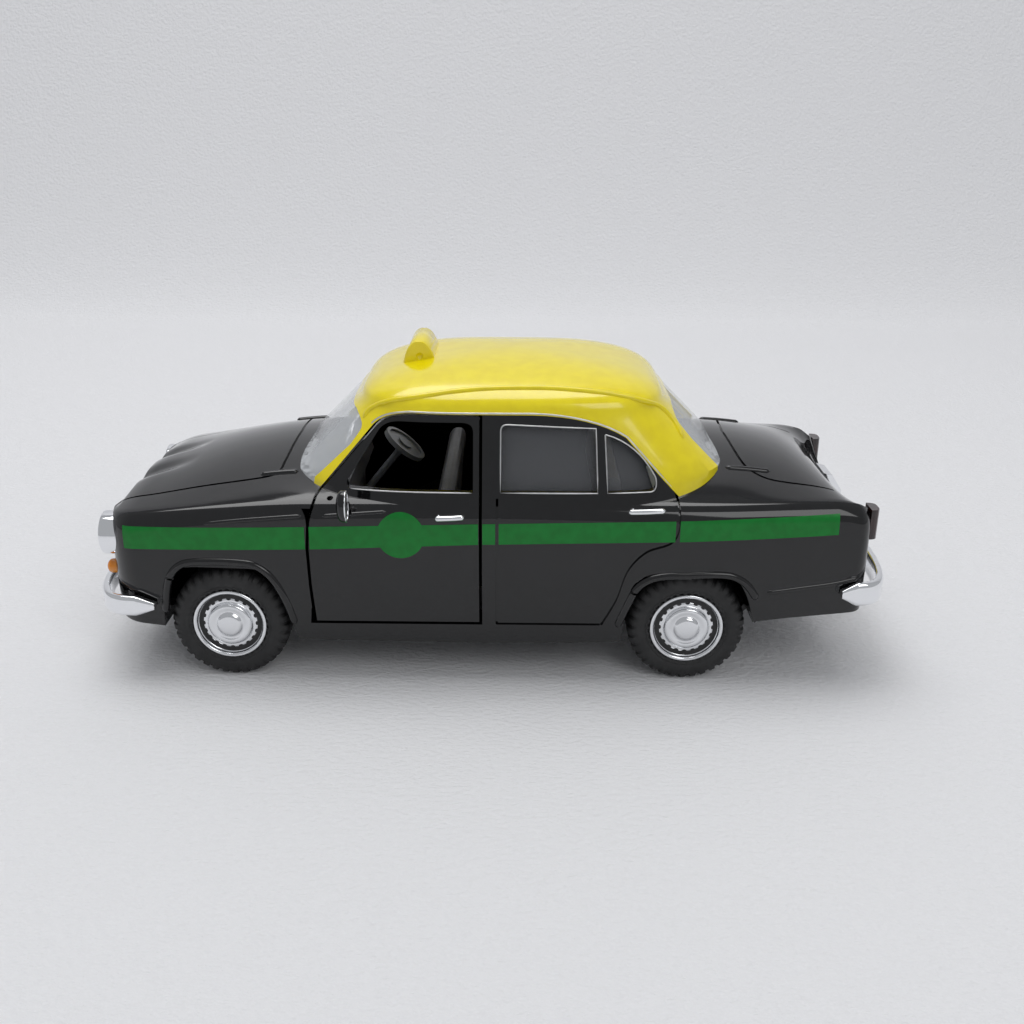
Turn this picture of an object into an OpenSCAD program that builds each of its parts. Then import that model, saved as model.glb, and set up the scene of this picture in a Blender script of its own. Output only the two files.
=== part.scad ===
// Die-cast collector car: a 1950s four-door saloon taxi of about 1:36 scale.
// It has opening front doors, rolling wheels and a pull-back spring motor.
// Millimetres, +Z up, ground at z = 0, front towards -X, left side towards -Y.

/* [Overall] */
// Length over both bumpers
length = 120; // [117:0.5:124]
// Width over the door skins
body_w = 45.2; // [43.6:0.2:47]
// Distance between the two axle centres
wheelbase = 68.4; // [67:0.2:70]
// From the face of the front bumper to the front axle
front_overhang = 21.1; // [20.4:0.1:22]
// Wall of the cast body and roof
wall = 1.1; // [0.9:0.1:1.3]

/* [Lower body] */
// How far the front bumper stands ahead of the body
nose_reach = 3.6; // [3:0.1:4.5]
// How far the rear bumper stands behind the body
tail_reach = 4.4; // [3.8:0.1:5.2]
// Underside of the sills
sill_z = 7; // [6.6:0.1:7.4]
// Underside of the front valance
front_skirt_z = 8.4; // [8:0.1:9]
// Underside of the rear valance
rear_skirt_z = 11; // [10.6:0.1:11.6]
// Height of the wing crest at the nose
nose_crest_z = 26; // [25:0.1:27]
// Height of the wing crest along the doors
waist_z = 29.4; // [29:0.1:30]
// Height of the wing crest at the tail
tail_crest_z = 28.4; // [27.8:0.1:29]
// Height of the bonnet at its front edge, on the centre line
bonnet_front_z = 26.8; // [26:0.1:27.5]
// Height of the scuttle below the windscreen, on the centre line
scuttle_z = 32.8; // [32.2:0.1:33.4]
// Height of the boot below the rear window, on the centre line
boot_z = 33.4; // [32.8:0.1:34]
// How much the side draws in above and below its widest line
side_bulge = 0.6; // [0.3:0.1:1]
// Radius of the rounded wing crest
crest_r = 3.2; // [2.6:0.1:3.8]
// How much each side draws in towards the nose
nose_taper = 2; // [1.4:0.1:2.6]
// How much each side draws in towards the tail
tail_taper = 1.8; // [1.2:0.1:2.4]

/* [Cabin] */
// Height of the roof at its middle
roof_z = 46.8; // [46:0.1:47.6]
// Height of the cant rail, where the sides turn into the roof
rail_z = 41.5; // [41:0.1:42]
// Cabin width at the window sill
sill_w = 42.6; // [42:0.1:43.2]
// Cabin width at the cant rail
rail_w = 36.8; // [36:0.1:37.6]
// From the front axle to the foot of the windscreen
screen_setback = 10.6; // [10:0.1:11.2]
// From the rear axle to the foot of the rear window
back_setback = 4.5; // [4:0.1:5]
// Width of the windscreen opening at its foot
screen_w = 34.2; // [33.4:0.2:35]
// Width of the rear window opening at its foot
back_w = 27; // [25:0.2:29]
// Top edge of the two screens
screen_top_z = 40.4; // [40:0.1:40.8]
// Thickness of the clear mouldings
glass_t = 0.8; // [0.6:0.1:1]

/* [Doors] */
// From the front axle to the front edge of the front door
door_setback = 13.4; // [13:0.1:13.8]
// Width of the post between the doors
post_w = 2; // [1.6:0.1:2.6]
// From the middle of the car to the middle of that post
post_x = 0; // [-0.6:0.1:0.6]
// Underside of the doors
door_z = 10.2; // [9.8:0.1:10.6]
// Gap round a door
door_gap = 0.45; // [0.35:0.05:0.6]
// Window sill height
sill_top_z = 30.3; // [30:0.1:30.6]
// How far the hinge pin sits behind the front edge of the door
hinge_back = 2.6; // [2.4:0.1:3]
// How far the hinge pin sits inside the door skin
hinge_inset = 2.3; // [2.2:0.1:2.5]
// Diameter of the hinge pin
hinge_pin_d = 0.8; // [0.6:0.1:1]
// Running clearance round pins and axles, on the radius
run_gap = 0.05; // [0.03:0.01:0.08]

/* [Wheels] */
// Tyre outside diameter
tyre_d = 17.6; // [17:0.1:18]
// Tyre width
tyre_w = 5.4; // [4.8:0.1:6]
// Distance between the wheel centre planes
track = 36.6; // [36:0.1:37.4]
// Diameter of the chromed rim
rim_d = 11; // [10.4:0.1:11.6]
// Axle rod diameter
axle_d = 2; // [1.6:0.1:2.2]
// Room between the tyre and its arch, above and to each side
arch_gap = 1; // [0.8:0.1:1.4]

/* [Chassis and motor] */
// Thickness of the plastic base plate
plate_t = 1.2; // [1:0.1:1.5]
// Gap between the base plate and the body
plate_gap = 0.15; // [0.1:0.05:0.3]
// Tooth module of the motor gears
gear_m = 0.4; // [0.38:0.01:0.42]
// Teeth on the axle pinion
pinion_n = 10; // [10:1:11]
// Teeth on the idler
idler_n = 14; // [13:1:15]
// Teeth on the spring drum
drum_n = 18; // [17:1:19]
// Face width of the gears
gear_w = 1.6; // [1.2:0.1:2]
// Width of the motor housing
motor_w = 12; // [11:0.5:13]
// Diameter of the body screws
screw_d = 1.6; // [1.4:0.1:1.8]

/* [Bright work] */
// Height of a bumper bar
bumper_h = 3.2; // [2.6:0.1:3.6]
// Thickness of a bumper bar
bumper_t = 1.4; // [1.2:0.1:1.8]
// Centre height of the front bumper
front_bumper_z = 12.3; // [12:0.1:12.8]
// Centre height of the rear bumper
rear_bumper_z = 15.3; // [14.8:0.1:15.8]
// Headlamp rim diameter
lamp_d = 6.6; // [6:0.1:7]
// Centre height of the headlamps
lamp_z = 21.7; // [21.2:0.1:22.2]
// Distance between the headlamp centres
lamp_spread = 32.4; // [31.6:0.2:33]
// Length of the roof sign, across the car
sign_w = 10; // [9:0.2:11]
// Foot of the roof sign, along the car
sign_l = 5; // [4.4:0.1:5.6]
// Height of the roof sign at its front foot
sign_h = 3.8; // [3.4:0.1:4.4]
// Height of the top of the roof sign above the ground
sign_top = 48.5; // [48:0.1:49]
// From the front axle to the middle of the roof sign
sign_setback = 28; // [27:0.1:29]

/* [Hidden] */

nose_x = -length / 2 + nose_reach;
tail_x = length / 2 - tail_reach;
front_x = -length / 2 + front_overhang;
rear_x = front_x + wheelbase;
screen_x = front_x + screen_setback;
back_x = rear_x + back_setback;
door_x = front_x + door_setback;
axle_z = tyre_d / 2;
arch_r = tyre_d / 2 + arch_gap;
widest_z = 19;

// ---- shared curves ------------------------------------------------------------------

// Number of the stretch of the point list p that holds the station x
function stretch(p, x, i = 0) = (i >= len(p) - 2 || x < p[i + 1][0]) ? i : stretch(p, x, i + 1);
// Slope of the smooth curve at point i of the list
function rise(p, i) = let (a = max(0, i - 1), b = min(len(p) - 1, i + 1))
    (p[b][1] - p[a][1]) / (p[b][0] - p[a][0]);
// Height at station x of the smooth curve through the points p
function flow(p, x) = let (i = stretch(p, x), h = p[i + 1][0] - p[i][0], t = (x - p[i][0]) / h)
    p[i][1] * (2 * t^3 - 3 * t^2 + 1) + rise(p, i) * h * (t^3 - 2 * t^2 + t)
    + p[i + 1][1] * (3 * t^2 - 2 * t^3) + rise(p, i + 1) * h * (t^3 - t^2);
// Rounded corner from p to q, pulled towards c
function bend(p, c, q, n = 6) = [for (i = [0 : n]) let (t = i / n)
    (1 - t)^2 * p + 2 * t * (1 - t) * c + t^2 * q];
// How far a round end of radius r has drawn in at a depth d from its tip
function draw_in(r, d) = d >= r ? 0 : r - sqrt(r * r - (r - max(0, d))^2);

// Closed solid through rings of points, with flat ends
module loft(rings) {
    n = len(rings[0]);
    m = len(rings);
    points = [for (r = rings) each r];
    faces = concat([[for (j = [n - 1 : -1 : 0]) j]], [[for (j = [0 : n - 1]) (m - 1) * n + j]],
        [for (i = [0 : m - 2], j = [0 : n - 1]) let (a = i * n + j, b = i * n + (j + 1) % n) each
            [[a, b, b + n], [a, b + n, a + n]]]);
    polyhedron(points, faces, convexity = 8);
}

// Side outline pushed right through the car, or through one half of it
module across(y0 = -40, y1 = 40) translate([0, y1, 0]) rotate([90, 0, 0])
    linear_extrude(y1 - y0, convexity = 6) children();
// Front outline pushed along the car
module along(x0, x1) translate([x0, 0, 0]) rotate([90, 0, 90]) linear_extrude(x1 - x0) children();
// The same piece on the left or, mirrored, on the right
module on_side(side) mirror([0, side > 0 ? 1 : 0, 0]) children();

// ---- lower body form ----------------------------------------------------------------

crest_line = [[nose_x, nose_crest_z - 0.6], [nose_x + 4, nose_crest_z + 0.3],
    [front_x, nose_crest_z + 2], [door_x, waist_z - 0.3], [post_x, waist_z], [rear_x, waist_z - 0.4],
    [tail_x - 6, waist_z - 0.4], [tail_x - 2, tail_crest_z], [tail_x, tail_crest_z - 1.2]];
spine_line = [[nose_x, bonnet_front_z - 2.4], [nose_x + 1.4, bonnet_front_z],
    [nose_x + 7, bonnet_front_z + 1.9], [front_x, (bonnet_front_z + scuttle_z) / 2 + 1.6],
    [screen_x, scuttle_z], [back_x, boot_z], [(back_x + tail_x) / 2 - 0.2, boot_z - 1.6],
    [tail_x - 5, boot_z - 4.4], [tail_x - 1.6, boot_z - 8.4], [tail_x, boot_z - 11]];
skirt_line = [[nose_x, front_skirt_z + 0.6], [front_x - arch_r, front_skirt_z],
    [front_x + arch_r, sill_z], [rear_x - arch_r, sill_z], [rear_x + arch_r + 1, rear_skirt_z - 0.4],
    [tail_x, rear_skirt_z + 0.8]];

// Half width of the lower body at station x, k inside the skin
function body_y(x, k) = body_w / 2 - k
    - nose_taper * max(0, (front_x + 17 - x) / (front_x + 17 - nose_x))^2
    - tail_taper * max(0, (x - rear_x + 4) / (tail_x - rear_x + 4))^2
    - draw_in(4.6, x - nose_x - k) - draw_in(2, tail_x - k - x);

// Half width of the lower body at station x and height z, up over the rounded crest
function skin_y(x, z) = let (turn = flow(crest_line, x) - crest_r, up = max(0, z - turn))
    body_y(x, 0) - side_bulge * ((min(z, turn) - widest_z) / 10)^2
    - crest_r + sqrt(max(0, crest_r^2 - up^2));
// Half section of the lower body at station x: side, rounded crest, crowned top
function body_half(x, k, foot) = let (
    w = body_y(x, k), cz = flow(crest_line, x) - k, top = flow(spine_line, x) - k,
    low = foot ? flow(skirt_line, x) : 0, r = crest_r - k / 2,
    shape = function (z) w - side_bulge * ((z - widest_z) / 10)^2,
    y1 = shape(cz - r) - r, yt = y1 + r * cos(68), zt = cz - r + r * sin(68))
    concat([for (t = [0, 0.25, 0.5, 0.75]) let (z = low + t * (cz - r - low)) [shape(z), z]],
        [for (a = [0, 22, 45, 68]) [y1 + r * cos(a), cz - r + r * sin(a)]],
        [for (t = [0.84, 0.66, 0.45, 0.22]) [yt * t, top - (top - zt) * t * t]]);

body_stations = [0, 0.006, 0.016, 0.03, 0.05, 0.09, 0.14, 0.2, 0.27, 0.36, 0.46, 0.56, 0.66, 0.74, 0.82,
    0.88, 0.92, 0.955, 0.975, 0.99, 1];

// Solid of the lower body, k inside the skin, cut off at its skirt or open below
module body_form(k = 0, foot = true) loft([for (s = body_stations)
    let (x = nose_x + k + s * (tail_x - nose_x - 2 * k), h = body_half(x, k, foot), n = len(h))
    concat([for (p = h) [x, -p[0], p[1]]], [[x, 0, flow(spine_line, x) - k]],
        [for (i = [n - 1 : -1 : 0]) [x, h[i][0], h[i][1]]])]);

// ---- cabin form ---------------------------------------------------------------------

// Screens lean back one for one; they run straight down inside the scuttle and the boot
function cabin_front(z) = screen_x + max(z, scuttle_z - 1.8) - scuttle_z;
function cabin_back(z) = back_x - max(z, boot_z - 1.4) + boot_z;
// Half width of the cabin: it leans in above the sill and meets the lower body's side below it
function cabin_y(z) = sill_w / 2 - (z > sill_top_z
    ? (sill_w - rail_w) / 2 * (z - sill_top_z) / (rail_z - sill_top_z)
    : (skin_y(post_x, shoulder_z) - skin_gap - sill_w / 2) * (z - sill_top_z) / (sill_top_z - shoulder_z));
function squared(c) = sign(c) * abs(c)^(2 / 3.8);
// Height where the cabin's walls start, and how far they start inside the lower body's side
shoulder_z = waist_z - crest_r - 0.2;
skin_gap = 0.1;

// Ring of the cabin at height z, k inside the skin and shrunk to the share s
function cabin_ring(z, k, s, up) = let (f = cabin_front(z) + k * 1.4, b = cabin_back(z) - k * 1.4)
    [for (i = [0 : 39]) let (a = i * 9) [(f + b) / 2 + s * (b - f) / 2 * squared(cos(a)),
        -s * (cabin_y(z) - k) * squared(sin(a)), up]];

// Solid of the cabin: leaning walls up to the cant rail, then a crowned roof
module cabin_form(k = 0, foot = shoulder_z) loft(concat(
    [for (z = [foot, sill_top_z, 34, 38, rail_z]) cabin_ring(z, k, 1, z)],
    [for (a = [18, 34, 48, 62, 76, 86]) let (rise = roof_z - k - rail_z)
        cabin_ring(rail_z, k, cos(a), rail_z + rise * sin(a))]));

// ---- side outlines ------------------------------------------------------------------

// Both door tops with their frames, from the front pillar over the post to the rear pillar
module door_tops() polygon(concat([[door_x + 0.7, shoulder_z - 1], [door_x + 0.7, waist_z - 0.4]],
    bend([door_x + 8.7, 38.9], [door_x + 10.3, rail_z - 0.8], [door_x + 14.5, rail_z - 0.5]),
    bend([post_x + 6, rail_z - 0.5], [post_x + 14.5, rail_z - 0.6], [post_x + 19.4, 37.8]),
    [[back_x - 6.4, waist_z - 0.4], [back_x - 6.4, shoulder_z - 1]]));

// Whole front door, grown by g all round
module door_outline(g = 0) intersection() {
    union() {
        polygon([[door_x - g, door_z - g], [door_x - 0.35 - g, 16], [door_x - 0.5 - g, 22],
            [door_x - 0.2 - g, 26], [door_x + 0.7 - g, waist_z - 0.3], [door_x + 3 - g, 32],
            [post_x, 32], [post_x, door_z - g]]);
        offset(delta = (g - door_gap) / 2) door_tops();
    }
    translate([door_x - 5, 0]) square([post_x - post_w / 2 + g - door_gap - door_x + 5, 60]);
}

// Plan of the hollow behind the wing's rear edge that lets the front of the door swing in
module door_undercut() translate([0, 0, door_z - door_gap]) linear_extrude(waist_z - 1.4 - door_z)
    polygon([[door_x - 0.7, -body_w / 2 + 0.3], [door_x - 3, -body_w / 2 + 2.6],
        [door_x + 1, -body_w / 2 + 2.6], [door_x + 1, -body_w / 2 + 0.3]]);

module front_window() polygon(concat([[door_x + 5.2, sill_top_z], [door_x + 5, 31.2]],
    bend([door_x + 9.5, 38.2], [door_x + 10.4, 39.7], [door_x + 13, 39.8], 3),
    bend([post_x - 4, 39.9], [post_x - 2.3, 39.9], [post_x - 2.3, 38.6], 3), [[post_x - 2.3, sill_top_z]]));
module rear_window_side() polygon(concat([[post_x + 1.6, sill_top_z]],
    bend([post_x + 1.6, 38.8], [post_x + 1.6, 39.7], [post_x + 2.6, 39.7], 3), [[post_x + 15.1, 39.2],
    [post_x + 15.5, sill_top_z]]));
module quarter_light() polygon(concat([[post_x + 16.9, sill_top_z], [post_x + 16.4, 38.3]],
    bend([post_x + 16.6, 38.3], [post_x + 21, 37], [post_x + 23.6, 32.6], 5),
    bend([post_x + 23.8, 32.2], [post_x + 24.2, sill_top_z], [post_x + 23, sill_top_z], 3)));

// Wheel arch: flat over the tyre, falling away to the skirts
module arch(x, back_low) polygon(concat([[x - arch_r - 0.5, 0], [x - arch_r + 0.4, axle_z + 5]],
    bend([x - arch_r + 0.8, axle_z + 6.4], [x - arch_r + 1.6, axle_z + arch_r],
        [x - arch_r + 6, axle_z + arch_r]),
    bend([x + arch_r - 6, axle_z + arch_r], [x + arch_r - 2.4, axle_z + arch_r],
        [x + arch_r - 0.8, axle_z + 4]),
    [[x + arch_r + back_low, 0]]));

// Front view of a screen opening, w wide at its foot
module screen_outline(w, g = 0) {
    h = w / 2 - g;
    t = screen_top_z - g;
    corner = bend([h - 5, t - 0.3], [h - 1.4, t - 0.9], [h - 0.9, t - 2.6]);
    right = concat([[0, t]], corner, [[h - 0.4, 36], [h, waist_z - 1]]);
    polygon(concat(right, [for (i = [len(right) - 1 : -1 : 1]) [-right[i][0], right[i][1]]]));
}

// ---- body, roof and glazing ---------------------------------------------------------

pin_x = door_x + hinge_back;
pin_y = body_w / 2 - hinge_inset;
knuckle_z = [16, 22];
knuckle_r = 0.85;
lug_h = 1.1;
boss_r = screw_d / 2 + 1.2;

// Post inside the sill whose two lugs hold the hinge pin of the left door
module hinge_post() difference() {
    union() {
        translate([pin_x - knuckle_r, -pin_y + knuckle_r + 0.15, plate_top(pin_x) + plate_gap])
            cube([2 * knuckle_r, 1.2, knuckle_z[1] + lug_h + 0.1 - plate_top(pin_x) - plate_gap]);
        translate([pin_x - knuckle_r, -body_w / 2 + wall, plate_top(pin_x) + plate_gap])
            cube([2 * knuckle_r, hinge_inset + knuckle_r + 1.35 - wall,
                door_z - door_gap - plate_top(pin_x) - 0.3]);
        for (z = [knuckle_z[0] - lug_h - 0.1, knuckle_z[1] + 0.1]) {
            translate([pin_x, -pin_y, z]) cylinder(h = lug_h, r = knuckle_r, $fn = 32);
            translate([pin_x - knuckle_r, -pin_y, z]) cube([2 * knuckle_r, knuckle_r + 0.5, lug_h]);
        }
    }
    translate([pin_x, -pin_y, knuckle_z[0] - 3]) cylinder(h = 14, d = hinge_pin_d, $fn = 32);
}

// Height where a screw boss at the station x ends inside the skin above it
function boss_top(x) = min(flow(spine_line, x - boss_r), flow(spine_line, x + boss_r)) - wall / 2;

module body_shell() color([0.04, 0.04, 0.05]) {
    difference() {
        union() {
            difference() {
                body_form();
                body_form(wall, false);
            }
            difference() {
                intersection() {
                    cabin_form();
                    across() door_tops();
                }
                across() door_outline(door_gap);
            }
        }
        cabin_form(wall);
        across() door_outline(door_gap);
        across() arch(front_x, 2.4);
        across() arch(rear_x, 2);
        for (side = [-1, 1]) on_side(side) door_undercut();
        across() rear_window_side();
        across() quarter_light();
    }
    for (side = [-1, 1]) on_side(side) hinge_post();
    for (i = [0, 1]) difference() {
        translate([boss_x[i], 0, plate_top(boss_x[i])])
            cylinder(h = boss_top(boss_x[i]) - plate_top(boss_x[i]), r = boss_r, $fn = 32);
        translate([boss_x[i], 0, 0]) cylinder(h = plate_top(boss_x[i]) + 8, d = screw_d, $fn = 32);
    }
}

module roof_shell() color([0.9, 0.8, 0.02]) difference() {
    cabin_form();
    cabin_form(wall);
    body_form();
    across() door_tops();
    across() door_outline(door_gap);
    along(screen_x - 20, post_x) screen_outline(screen_w);
    along(post_x, back_x + 20) screen_outline(back_w);
}

module pane(x0, x1, w) color([0.85, 0.9, 0.92, 0.5]) difference() {
    intersection() {
        difference() {
            cabin_form(0.1);
            cabin_form(0.1 + glass_t);
        }
        along(x0, x1) screen_outline(w, 0.1);
    }
    body_form();
    across() offset(delta = 0.3) door_tops();
}
module windscreen() pane(screen_x - 20, post_x, screen_w);
module rear_window() pane(post_x, back_x + 20, back_w);

// One clear strip behind the rear door window and the quarter light
module side_glass(side) color([0.85, 0.9, 0.92, 0.5]) intersection() {
    difference() {
        cabin_form(wall + 0.05);
        cabin_form(wall + 0.05 + glass_t);
    }
    on_side(side) across(-40, 0) offset(delta = 0.6) hull() {
        rear_window_side();
        quarter_light();
    }
}
module side_glass_left() side_glass(-1);
module side_glass_right() side_glass(1);

// ---- doors --------------------------------------------------------------------------

// Skin with its window frame, and the knuckle that turns on the hinge pin
module door(side) color([0.04, 0.04, 0.05]) on_side(side) difference() {
    union() {
        difference() {
            intersection() {
                union() {
                    difference() {
                        body_form();
                        body_form(wall, false);
                    }
                    difference() {
                        cabin_form();
                        cabin_form(wall);
                    }
                }
                across(-40, -10) door_outline();
            }
            across(-40, 0) front_window();
            cabin_form(wall);
            translate([door_x - 5, 3.4 - body_w / 2, 0]) cube([8, 20, waist_z - 0.3]);
        }
        translate([pin_x, -pin_y, knuckle_z[0]])
            cylinder(h = knuckle_z[1] - knuckle_z[0], r = knuckle_r, $fn = 32);
        translate([pin_x - knuckle_r, -body_w / 2 + wall - 0.3, knuckle_z[0]])
            cube([2 * knuckle_r, hinge_inset - wall + 0.3, knuckle_z[1] - knuckle_z[0]]);
    }
    translate([pin_x, -pin_y, 0]) cylinder(h = 40, r = hinge_pin_d / 2 + run_gap, $fn = 32);
}
module door_left() door(-1);
module door_right() door(1);

module door_pin(side) color([0.7, 0.7, 0.72]) translate([pin_x, side * pin_y, knuckle_z[0] - lug_h - 0.1])
    cylinder(h = knuckle_z[1] - knuckle_z[0] + 2 * lug_h + 0.2, d = hinge_pin_d, $fn = 32);
module door_pin_left() door_pin(-1);
module door_pin_right() door_pin(1);

// ---- chassis ------------------------------------------------------------------------

// Underside of the base plate: low between the wheels, stepped up at both ends
plate_line = [[nose_x, front_skirt_z + 0.4], [front_x - 9, front_skirt_z + 0.4], [front_x - 5, sill_z],
    [rear_x + 8, sill_z], [rear_x + 12, rear_skirt_z + 0.2], [tail_x, rear_skirt_z + 0.2]];
function plate_top(x) = lookup(x, plate_line) + plate_t;
well_y = track / 2 - tyre_w / 2 - 0.8;
plate_end = wall + plate_gap + 0.6;

module plate_plan() {
    n = 24;
    edge = [for (i = [0 : n]) let (x = nose_x + plate_end + i / n * (tail_x - nose_x - 2 * plate_end))
        [x, body_y(x, wall + plate_gap) - side_bulge * ((sill_z - widest_z) / 10)^2]];
    difference() {
        polygon(concat(edge, [for (i = [n : -1 : 0]) [edge[i][0], -edge[i][1]]]));
        for (x = [front_x, rear_x], side = [-1, 1])
            translate([x, side * (well_y + 10)]) square([2 * arch_r + 1, 20], center = true);
    }
}

// Block on the plate that the axle at the station x turns in
module carrier(x, y0, y1) translate([x - axle_d - 0.4, y0, sill_z])
    cube([2 * axle_d + 0.8, y1 - y0, axle_z - sill_z + axle_d]);

// Moulded base with the axle carriers, the holes for the body screws and room for the pinion
pinion_r = gear_m * (pinion_n / 2 + 0.85);
module base_plate() color([0.07, 0.07, 0.08]) difference() {
    union() {
        intersection() {
            across() polygon(concat(plate_line, [for (i = [len(plate_line) - 1 : -1 : 0])
                plate_line[i] + [0, plate_t]]));
            linear_extrude(40) plate_plan();
        }
        carrier(front_x, -well_y, well_y);
        for (side = [-1, 1]) on_side(side) carrier(rear_x, -well_y, -motor_w / 2 - 1);
    }
    for (x = [front_x, rear_x]) translate([x, 30, axle_z]) rotate([90, 0, 0])
        cylinder(h = 60, d = axle_d + 2 * run_gap, $fn = 48);
    translate([rear_x - pinion_r - 0.4, -gear_w / 2 - 0.4, 0])
        cube([2 * pinion_r + 0.8, gear_w + 0.8, sill_z + 4]);
    for (x = boss_x) translate([x, 0, 0]) {
        cylinder(h = 30, d = screw_d + 0.2, $fn = 32);
        cylinder(h = plate_top(x) - plate_t / 2, d = 2 * screw_d, $fn = 32);
    }
}

module base_screws() color([0.6, 0.6, 0.62]) for (x = boss_x) difference() {
    union() {
        translate([x, 0, plate_top(x) - plate_t / 2 - 0.8])
            cylinder(h = 0.8, d = 2 * screw_d - 0.2, $fn = 32);
        translate([x, 0, plate_top(x) - plate_t / 2 - 0.1]) cylinder(h = 6, d = screw_d, $fn = 32);
    }
    translate([x - screw_d / 2, -0.15, plate_top(x) - plate_t / 2 - 1]) cube([screw_d, 0.3, 0.6]);
}

// ---- interior -----------------------------------------------------------------------

tub_floor = sill_z + plate_t;
tub_wall = 1;
steer_d = 7.8;
tub_y = body_w / 2 - wall - 4.4;
tub_front = door_x + 2.4;
tub_back = rear_x - arch_r - 0.2;
seat_y = tub_y - 1.2;
dash_y = tub_y - 1.5;
dash_z = scuttle_z - wall - 4.4;
seat_t = 4.6;
front_seat_x = tub_front + 6.6;
front_seat_l = 7;
rear_seat_l = 10;
rear_seat_x = tub_back - rear_seat_l - seat_t;

// Bench seat seen from the side: cushion from x0 to x1, then the back rest up to the height top
module bench(x0, x1, lift, top) across(-seat_y, seat_y) polygon(concat(
    [[x0, tub_floor]], bend([x0, lift - 1.6], [x0 + 0.1, lift], [x0 + 1.8, lift], 4), [[x1, lift - 0.8]],
    bend([x1 + 1.6, top - 1.4], [x1 + 2, top], [x1 + 3.2, top], 4),
    bend([x1 + 3.2, top], [x1 + seat_t, top], [x1 + seat_t - 0.2, top - 2], 4), [[x1 + 3, tub_floor]]));

// One moulding: floor with low sides, dashboard on its bulkhead and two bench seats
module interior_tub() color([0.2, 0.2, 0.21]) {
    difference() {
        translate([tub_front, -tub_y, tub_floor]) cube([tub_back - tub_front, 2 * tub_y, 5]);
        translate([tub_front + tub_wall, -tub_y + tub_wall, tub_floor + tub_wall])
            cube([tub_back - tub_front - 2 * tub_wall, 2 * (tub_y - tub_wall), 5]);
    }
    across(-dash_y, dash_y) polygon([[tub_front, tub_floor], [tub_front, dash_z - 2.8],
        [tub_front - 2.4, dash_z - 1.8], [tub_front - 2.4, dash_z - 0.4], [tub_front + 1.2, dash_z],
        [tub_front + 1.9, dash_z - 2.4], [tub_front + tub_wall, dash_z - 3.2],
        [tub_front + tub_wall, tub_floor]]);
    bench(front_seat_x, front_seat_x + front_seat_l, axle_z + 8.7, sill_top_z - 1.6);
    bench(rear_seat_x, rear_seat_x + rear_seat_l, axle_z + 9.7, sill_top_z + 0.6);
}

// Solid wheel and its column, raked towards the driver and ending at the bulkhead
steer_at = [tub_front + 8.1, 8, sill_top_z - 2.2];
steer_rake = 39;
steer_column = (steer_at[0] - tub_front - tub_wall) / sin(steer_rake);
module steering_wheel() color([0.3, 0.3, 0.31]) difference() {
    translate(steer_at) rotate([0, steer_rake, 0]) {
        difference() {
            cylinder(h = 0.8, d = steer_d, center = true, $fn = 64);
            translate([0, 0, 0.1]) difference() {
                cylinder(h = 1, d = steer_d - 1.2, $fn = 64);
                cylinder(h = 1, d = 2.6, $fn = 48);
            }
        }
        translate([0, 0, -steer_column - 2]) cylinder(h = steer_column + 2, d = 1.2, $fn = 32);
    }
    translate([tub_front + tub_wall - 10, 0, 0]) cube([10, 20, 40]);
}

// ---- wheels -------------------------------------------------------------------------

hub_face = 0.5;
rim_in = tyre_w * 0.8;

// Turned about the axle: u runs outwards along the axle, v is the radius
module turned(x, side) translate([x, side * track / 2, axle_z]) rotate([-90 * side, 0, 0])
    rotate_extrude($fn = 96) children();

module tyre(x, side) color([0.08, 0.08, 0.08]) turned(x, side) polygon(concat(
    [[rim_d / 2, -tyre_w / 2 + 0.6]], bend([rim_d / 2 + 1, -tyre_w / 2], [tyre_d / 2 - 0.3, -tyre_w / 2],
    [tyre_d / 2, -tyre_w / 2 + 1.2], 5), bend([tyre_d / 2, tyre_w / 2 - 1.2], [tyre_d / 2 - 0.3, tyre_w / 2],
    [rim_d / 2 + 1, tyre_w / 2], 5), [[rim_d / 2, tyre_w / 2 - 0.6]]));

// Rim with its hub cap: a blind bore takes the end of the axle
module rim(x, side) color([0.85, 0.86, 0.88]) turned(x, side) polygon([[axle_d / 2, -tyre_w / 2],
    [axle_d / 2 + 1.2, -tyre_w / 2], [axle_d / 2 + 1.2, -0.6], [rim_d / 2 - 0.8, -0.6],
    [rim_d / 2 - 0.8, -rim_in / 2], [rim_d / 2, -rim_in / 2], [rim_d / 2, tyre_w / 2 - 0.4],
    [rim_d / 2 - 0.3, tyre_w / 2], [rim_d / 2 - 0.9, tyre_w / 2], [rim_d / 2 - 1.4, tyre_w / 2 - 0.7],
    [3.4, tyre_w / 2 - 0.5], [3, tyre_w / 2 + 0.1], [1.8, tyre_w / 2 + 0.3], [1.4, tyre_w / 2 + hub_face],
    [0, tyre_w / 2 + hub_face], [0, tyre_w / 2 - 0.9], [axle_d / 2, tyre_w / 2 - 0.9]]);

module axle(x) color([0.7, 0.7, 0.72]) translate([x, track / 2 + tyre_w / 2 - 0.9, axle_z])
    rotate([90, 0, 0]) cylinder(h = track + tyre_w - 1.8, d = axle_d, $fn = 48);

module front_axle() axle(front_x);
module rear_axle() axle(rear_x);
module rim_front_left() rim(front_x, -1);
module rim_front_right() rim(front_x, 1);
module rim_rear_left() rim(rear_x, -1);
module rim_rear_right() rim(rear_x, 1);
module tyre_front_left() tyre(front_x, -1);
module tyre_front_right() tyre(front_x, 1);
module tyre_rear_left() tyre(rear_x, -1);
module tyre_rear_right() tyre(rear_x, 1);

// ---- pull-back motor ----------------------------------------------------------------

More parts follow.
